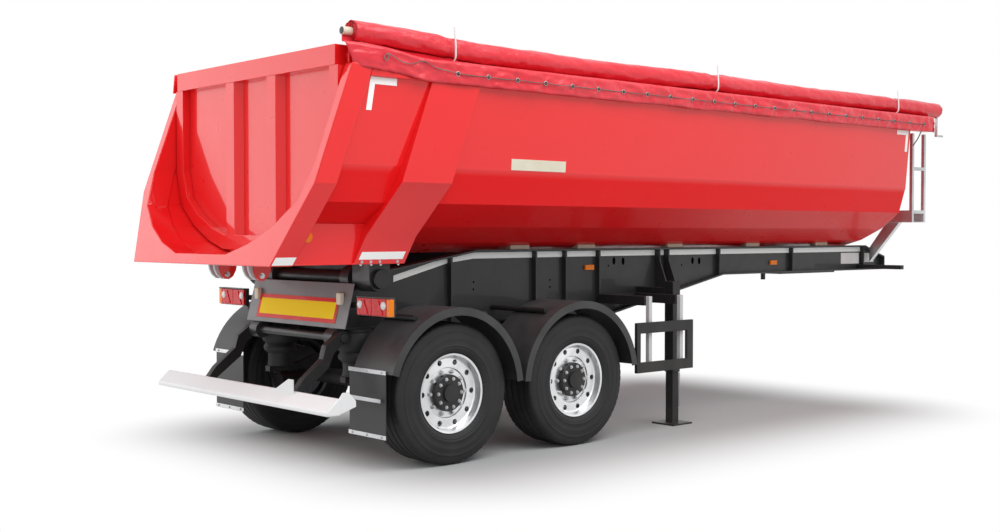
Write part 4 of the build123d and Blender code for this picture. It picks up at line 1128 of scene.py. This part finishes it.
# %% Closing plates, reflectors and foot bolts
LUG = ((-1.000, 2.880), (-0.985, 3.035), (-0.870, 3.050), (-0.850, 2.900))
SKIRT = ((0.180, 1.500), (0.790, 1.500), (0.790, 1.794), (0.180, 1.794))
skirts, reflectors, lug = bmesh.new(), bmesh.new(), bmesh.new()
foot_bolts = []
for side in (1, -1):
    add_prism(skirts, [(raked(d, z), side * 0.928, z) for d, z in SKIRT], (0, side * 0.006, 0))
    add_bar(reflectors, (at(-1.105), side * 0.932, 1.700), (at(-1.105), side * 0.946, 1.700), 0.042, 32)
    for x in (-0.640, -0.545, -0.460, -0.300):
        foot_bolts.append(facing((at(x), side * 0.925, 1.500), (0, 0, -1)))
    for d in (0.800, 0.880, 0.960, 1.120):
        foot_bolts.append(facing((raked(d, 1.518), side * 0.9545, 1.518), (0, side, -0.25)))
add_plate(lug, 1.218, LUG, 0.016)
end_shape(skirts, "closing_plates", "tipper_body", "red_paint", body_red, 0.002)
end_shape(reflectors, "side_reflectors", "tipper_body", "lamp_amber", lens_amber, 0.004)
end_shape(lug, "corner_lug", "tipper_body", "red_paint", body_red, 0.004)
fasten("foot_bolts", "tipper_body", nut_row, zinc, foot_bolts, count=1, spread=0.0, nut_radius=0.009,
       nut_height=0.009)
print("foot bolts:", len(foot_bolts))

# %% [markdown]
# The underrun guard carries a white gusset at its right arm and an upright plate at its right end. The
# mud flaps hang from aluminium strips and have a second strip at their lower edge, each held by a row of
# small bolts.

# %% Underrun gussets and flap strips
ARM_GUSSET = ((-0.702, 0.550), (-0.702, 0.676), (-0.640, 0.676), (-0.430, 0.572), (-0.430, 0.550))
END_PLATE = ((-1.060, 0.470), (-1.060, 0.560), (-1.010, 0.625), (-0.960, 0.625), (-0.900, 0.560),
             (-0.900, 0.520))
STRIP_T, STRIP_PITCH = 0.004, 0.18
gussets, strips = bmesh.new(), bmesh.new()
strip_bolts = []
flap_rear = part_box("mud_flaps")[0][0]
add_prism(gussets, [(at(-1.078), y, z) for y, z in ARM_GUSSET], (0.010, 0, 0))
add_plate(gussets, -1.232, END_PLATE, 0.010)
for side in (1, -1):
    ya, yb = side_pair(side, 0.752, 1.208)
    for z in (0.716, 0.252):
        add_box(strips, (flap_rear - STRIP_T, ya, z), (flap_rear, yb, z + 0.030))
        first_bolt = (flap_rear - STRIP_T, side * 0.98 - STRIP_PITCH, z + 0.015)
        strip_bolts.append(facing(first_bolt, (-1, 0, 0), (0, 1, 0)))
end_shape(gussets, "underrun_gussets", "underrun", "white_paint", guard_white, 0.002)
end_shape(strips, "flap_strips", "chassis", "galvanised", mill_alloy, 0.001)
fasten("flap_bolts", "chassis", nut_row, zinc, strip_bolts, count=3, spread=STRIP_PITCH, nut_radius=0.008,
       nut_height=0.006)
print("flap strips: 4")

# %% [markdown]
# The beams carry tapered gussets where the landing legs stand, oval lightening holes, a pair of blank
# plates at the neck and bolts along the leg carrier. The holes are black discs laid on the web, painted
# shade for the dark seen through them. The suspension's hangers stand below, inside the wheels.

# %% Beam fittings
GUSSET_PLACES = (3.023, 3.151)
GUSSET = ((WEB_FACE, 1.572), (0.588, 1.572), (0.588, 1.470), (0.690, 1.215), (0.690, 1.150),
          (WEB_FACE, 1.150))
OVALS = ((2.455, 1.472), (2.577, 1.468), (3.562, 1.459), (3.663, 1.455))
PINHOLES = ((0.774, 1.324), (0.773, 1.263), (1.645, 1.320), (1.645, 1.259), (2.38, 1.43), (3.40, 1.42))
OVAL_SIDES = 28
HOLE_T = 0.0008
PLATES = ((6.090, 6.445, 1.385, 1.505), (6.545, 6.740, 1.398, 1.500))
CARRIER_BOLTS = ((2.337, 1.161), (2.827, 1.153), (3.213, 1.140), (3.087, 1.240), (3.087, 1.300))
gussets, holes, plates = bmesh.new(), bmesh.new(), bmesh.new()
# Painted shade: near-black discs stand for the dark seen through each hole in the web.
hole_shade_finish = painted("open_hole_black", (0.002, 0.002, 0.002), 0.9, 0.0, 0.02, 1.7, speck=0.10, peel=0.02,
                     shine=0.0)
rail_bolts = []
for side in (1, -1):
    for x in GUSSET_PLACES:
        add_prism(gussets, [(at(x) - 0.007, side * y, z) for y, z in GUSSET], (0.014, 0, 0))
    for x, z in OVALS:
        turns = [math.tau * k / OVAL_SIDES for k in range(OVAL_SIDES)]
        outline = [(at(x) + 0.019 * math.cos(turn), side * WEB_FACE, z + 0.034 * math.sin(turn))
                   for turn in turns]
        add_prism(holes, outline, (0, side * HOLE_T, 0))
    for x, z in PINHOLES:
        add_bar(holes, (at(x), side * WEB_FACE, z), (at(x), side * (WEB_FACE + HOLE_T), z), 0.009)
    for x0, x1, z0, z1 in PLATES:
        ya, yb = side_pair(side, WEB_FACE, WEB_FACE + 0.002)
        add_box(plates, (at(x0), ya, z0), (at(x1), yb, z1))
    for x, z in CARRIER_BOLTS:
        rail_bolts.append(facing((at(x), side * WEB_FACE, z), (0, side, 0)))
end_shape(gussets, "leg_gussets", "chassis", "chassis_paint", chassis_grey, 0.002)
end_shape(holes, "web_holes", "chassis", "chassis_paint", hole_shade_finish, 0.0002)
end_shape(plates, "blank_plates", "chassis", "polished_aluminium", strap_white, 0.001)
fasten("rail_bolts", "chassis", nut_row, zinc, rail_bolts, count=1, spread=0.0, nut_radius=0.012,
       nut_height=0.012)

HANGER = ((0.42, 1.00), (1.22, 1.00), (1.10, 0.80), (0.90, 0.66), (0.60, 0.62), (0.48, 0.72))
hangers = bmesh.new()
for side in (1, -1):
    ya, yb = side_pair(side, 0.545, 0.560)
    add_plate(hangers, ya, HANGER, yb - ya)
    add_bar(hangers, (at(0.655), side * 0.50, 0.86), (at(0.655), side * 1.02, 0.955), 0.021)
    for x, z in ((0.56, 0.955), (0.75, 0.955)):
        add_bar(hangers, (at(x), side * 0.80, z), (at(x), side * 0.86, z + 0.006), 0.034)
end_shape(hangers, "suspension_hangers", "chassis", "chassis_paint", running_black, 0.003)
print("beam fittings on both sides")

# %% [markdown]
# The air springs are rubber bellows: a wide upper roll, a waist with a hoop, a lower roll and a piston.
# Each is an outline of radius and height turned about its own upright axis.

# %% Air springs
BELLOWS = ((0.004, 1.0000), (0.112, 1.0000), (0.120, 0.9920), (0.122, 0.982), (0.140, 0.974), (0.151, 0.952),
           (0.155, 0.915), (0.150, 0.872), (0.136, 0.843), (0.119, 0.826), (0.127, 0.812), (0.135, 0.795),
           (0.131, 0.772), (0.113, 0.753), (0.100, 0.742), (0.098, 0.700), (0.103, 0.660), (0.105, 0.641),
           (0.004, 0.641))


def add_lathe(shape, x, y, outline, sides=40):
    """An outline of (radius, height) turned about an upright axis."""
    ways = [(math.cos(math.tau * k / sides), math.sin(math.tau * k / sides)) for k in range(sides)]
    rings = [[shape.verts.new((x + r * c, y + r * s, z)) for c, s in ways] for r, z in outline]
    for one, two in zip(rings, rings[1:]):
        for k in range(sides):
            shape.faces.new((one[k], one[(k + 1) % sides], two[(k + 1) % sides], two[k]))
    shape.faces.new(rings[0])
    shape.faces.new(rings[-1])


springs = bmesh.new()
for x in (-0.410, 0.900):
    for side in (1, -1):
        add_lathe(springs, at(x), side * 0.535, BELLOWS)
bellows = end_shape(springs, "air_spring_bellows", "chassis", "guard_plastic", flap_rubber, 0.0008,
                    ("air_springs",))
bellows.data.shade_smooth()
print("air springs: 4")

# %% [markdown]
# Small things that hang or reach: a dark cover over the hinge shaft, a strap at the front end of the
# tarpaulin, a stay behind the right mud flap, and the safety chain of the landing leg, made of two rows of
# rings that stand crosswise.

# %% Cover, strap, stays and chain
STAY = ((-0.640, 0.512), (-0.640, 0.540), (-0.900, 0.598), (-0.900, 0.570))
STRAP = ((6.500, -1.262, 2.850), (6.455, -1.266, 2.790), (6.400, -1.258, 2.715), (6.345, -1.246, 2.660))
CHAIN_ROWS = ((0.455, (0, -1, 0)), (0.440, (1, 0, 0)))
cover, stays = bmesh.new(), bmesh.new()
add_box(cover, (at(-0.345), -0.625, 1.395), (at(-0.333), 0.625, 1.545))
add_plate(stays, -1.165, STAY, 0.030)
end_shape(cover, "hinge_cover", "chassis", "chassis_paint", running_black, 0.002)
end_shape(stays, "flap_stays", "chassis", "galvanised", arm_grey, 0.003)
line_tube("tarp_strap", "tipper_body", STRAP, 0.006, guard_black)
for number, (top, outward) in enumerate(CHAIN_ROWS, 1):
    chain_top = facing((at(2.866), -0.955, top), outward, (0, 0, -1))
    row = fasten(f"leg_chain_{number}", "chassis", eyelet_row, zinc, [chain_top], count=10, spread=0.030,
                 ring_radius=0.0105, wire_radius=0.0030)
    row.data.shade_smooth()
print("cover, strap, stays and chain done")

# %% [markdown]
# Light: a white dome, one wide soft lamp above and a weaker one behind. The floor is grey in a patch
# round the trailer: a painted shadow, on which the trailer's real soft shadow falls too. Beyond the patch
# the floor turns into the same white as the dome, so no horizon line shows. The eye and the reflections
# see the studio's white, while the light that floor and dome send to the paint stays at a plain level.

# %% Light and floor


def seen_or_lit(tree):
    """1 for rays from the eye and from reflections or glass, 0 for rays that only light things."""
    path = tree.nodes.new("ShaderNodeLightPath")
    total = path.outputs["Is Camera Ray"]
    for kind in ("Is Glossy Ray", "Is Transmission Ray"):
        total = add_math(tree, "MAXIMUM", total, path.outputs[kind])
    return total


def mix_shaders(tree, share, first, second, output):
    """first where share is 0 and second where it is 1, into an output socket."""
    mixed = tree.nodes.new("ShaderNodeMixShader")
    tree.links.new(share, mixed.inputs[0])
    tree.links.new(first, mixed.inputs[1])
    tree.links.new(second, mixed.inputs[2])
    tree.links.new(mixed.outputs[0], output)


def softbox(name, width, height, energy, place, degrees):
    """A rectangular soft lamp, turned by three angles."""
    lamp = bpy.data.lights.new(name, "AREA")
    lamp.shape = "RECTANGLE"
    lamp.size, lamp.size_y = width, height
    lamp.energy = energy
    stand = bpy.data.objects.new(name, lamp)
    stand.location = place
    stand.rotation_euler = [math.radians(angle) for angle in degrees]
    scene.collection.objects.link(stand)


world = bpy.data.worlds.new("studio")
scene.world = world
world.use_nodes = True
sky = world.node_tree
dome = sky.nodes["Background"]
set_sockets(dome, Color=(0.96, 0.98, 1.0, 1), Strength=0.80)
seen = add_node(sky, "ShaderNodeBackground", Color=(1, 1, 1, 1), Strength=1.0)
sky_surface = sky.nodes["World Output"].inputs["Surface"]
mix_shaders(sky, seen_or_lit(sky), dome.outputs[0], seen.outputs[0], sky_surface)

softbox("overhead_softbox", 10, 6, 620, (at(0.5), -6.0, 9.0), (34, 0, 0))
softbox("rear_softbox", 9, 9, 300, (at(-6.5), 5.5, 3.4), (0, -76, -45))

FLOOR_R = 60
FAR_FLOOR_LIGHT = 0.65
FAR = 80.0
PAINTED_SHADOW_FADE = 1.75
floor_shape = bmesh.new()
bmesh.ops.create_circle(floor_shape, cap_ends=True, segments=96, radius=FLOOR_R)
floor_finish, tree, floor_shader = new_finish("studio_floor")
set_sockets(floor_shader, Roughness=0.9, Specular_IOR_Level=0.0)
# The near floor's grey is a painted shadow round the trailer, seen by the eye and in reflections.
tree.links.new(add_blend(tree, seen_or_lit(tree), (0.35, 0.35, 0.35), (0.43, 0.43, 0.43)),
               floor_shader.inputs["Base Color"])
far_white = add_node(tree, "ShaderNodeEmission", Color=(1, 1, 1, 1))
tree.links.new(add_range(tree, seen_or_lit(tree), 0.0, 1.0, FAR_FLOOR_LIGHT, 1.0),
               far_white.inputs["Strength"])
# The painted shadow covers a rectangle round the trailer, and its edge fades into the white floor.
beyond_painted_shadow = []
spot = tree.nodes.new("ShaderNodeSeparateXYZ")
tree.links.new(object_point(tree), spot.inputs[0])
for axis, middle, half in (("X", at(2.35), 2.35), ("Y", -0.1, 1.15)):
    off = add_range(tree, spot.outputs[axis], middle - FAR, middle + FAR, -FAR, FAR)
    beyond_painted_shadow.append(add_range(tree, add_math(tree, "ABSOLUTE", off), half, half + FAR / 2, 0.0, FAR / 2))
reach = tree.nodes.new("ShaderNodeCombineXYZ")
tree.links.new(beyond_painted_shadow[0], reach.inputs["X"])
tree.links.new(beyond_painted_shadow[1], reach.inputs["Y"])
distance = tree.nodes.new("ShaderNodeVectorMath")
distance.operation = "LENGTH"
tree.links.new(reach.outputs[0], distance.inputs[0])
painted_shadow_fade = add_range(tree, distance.outputs["Value"], 0.0, PAINTED_SHADOW_FADE, 0.0, 1.0)
painted_shadow_fade.node.interpolation_type = "SMOOTHSTEP"
mix_shaders(tree, painted_shadow_fade, floor_shader.outputs[0], far_white.outputs[0],
            tree.nodes["Material Output"].inputs["Surface"])
link_piece("floor", mesh_of(floor_shape, "floor"), floor_finish)
scene.view_settings.view_transform = "Standard"
print("light and floor set")
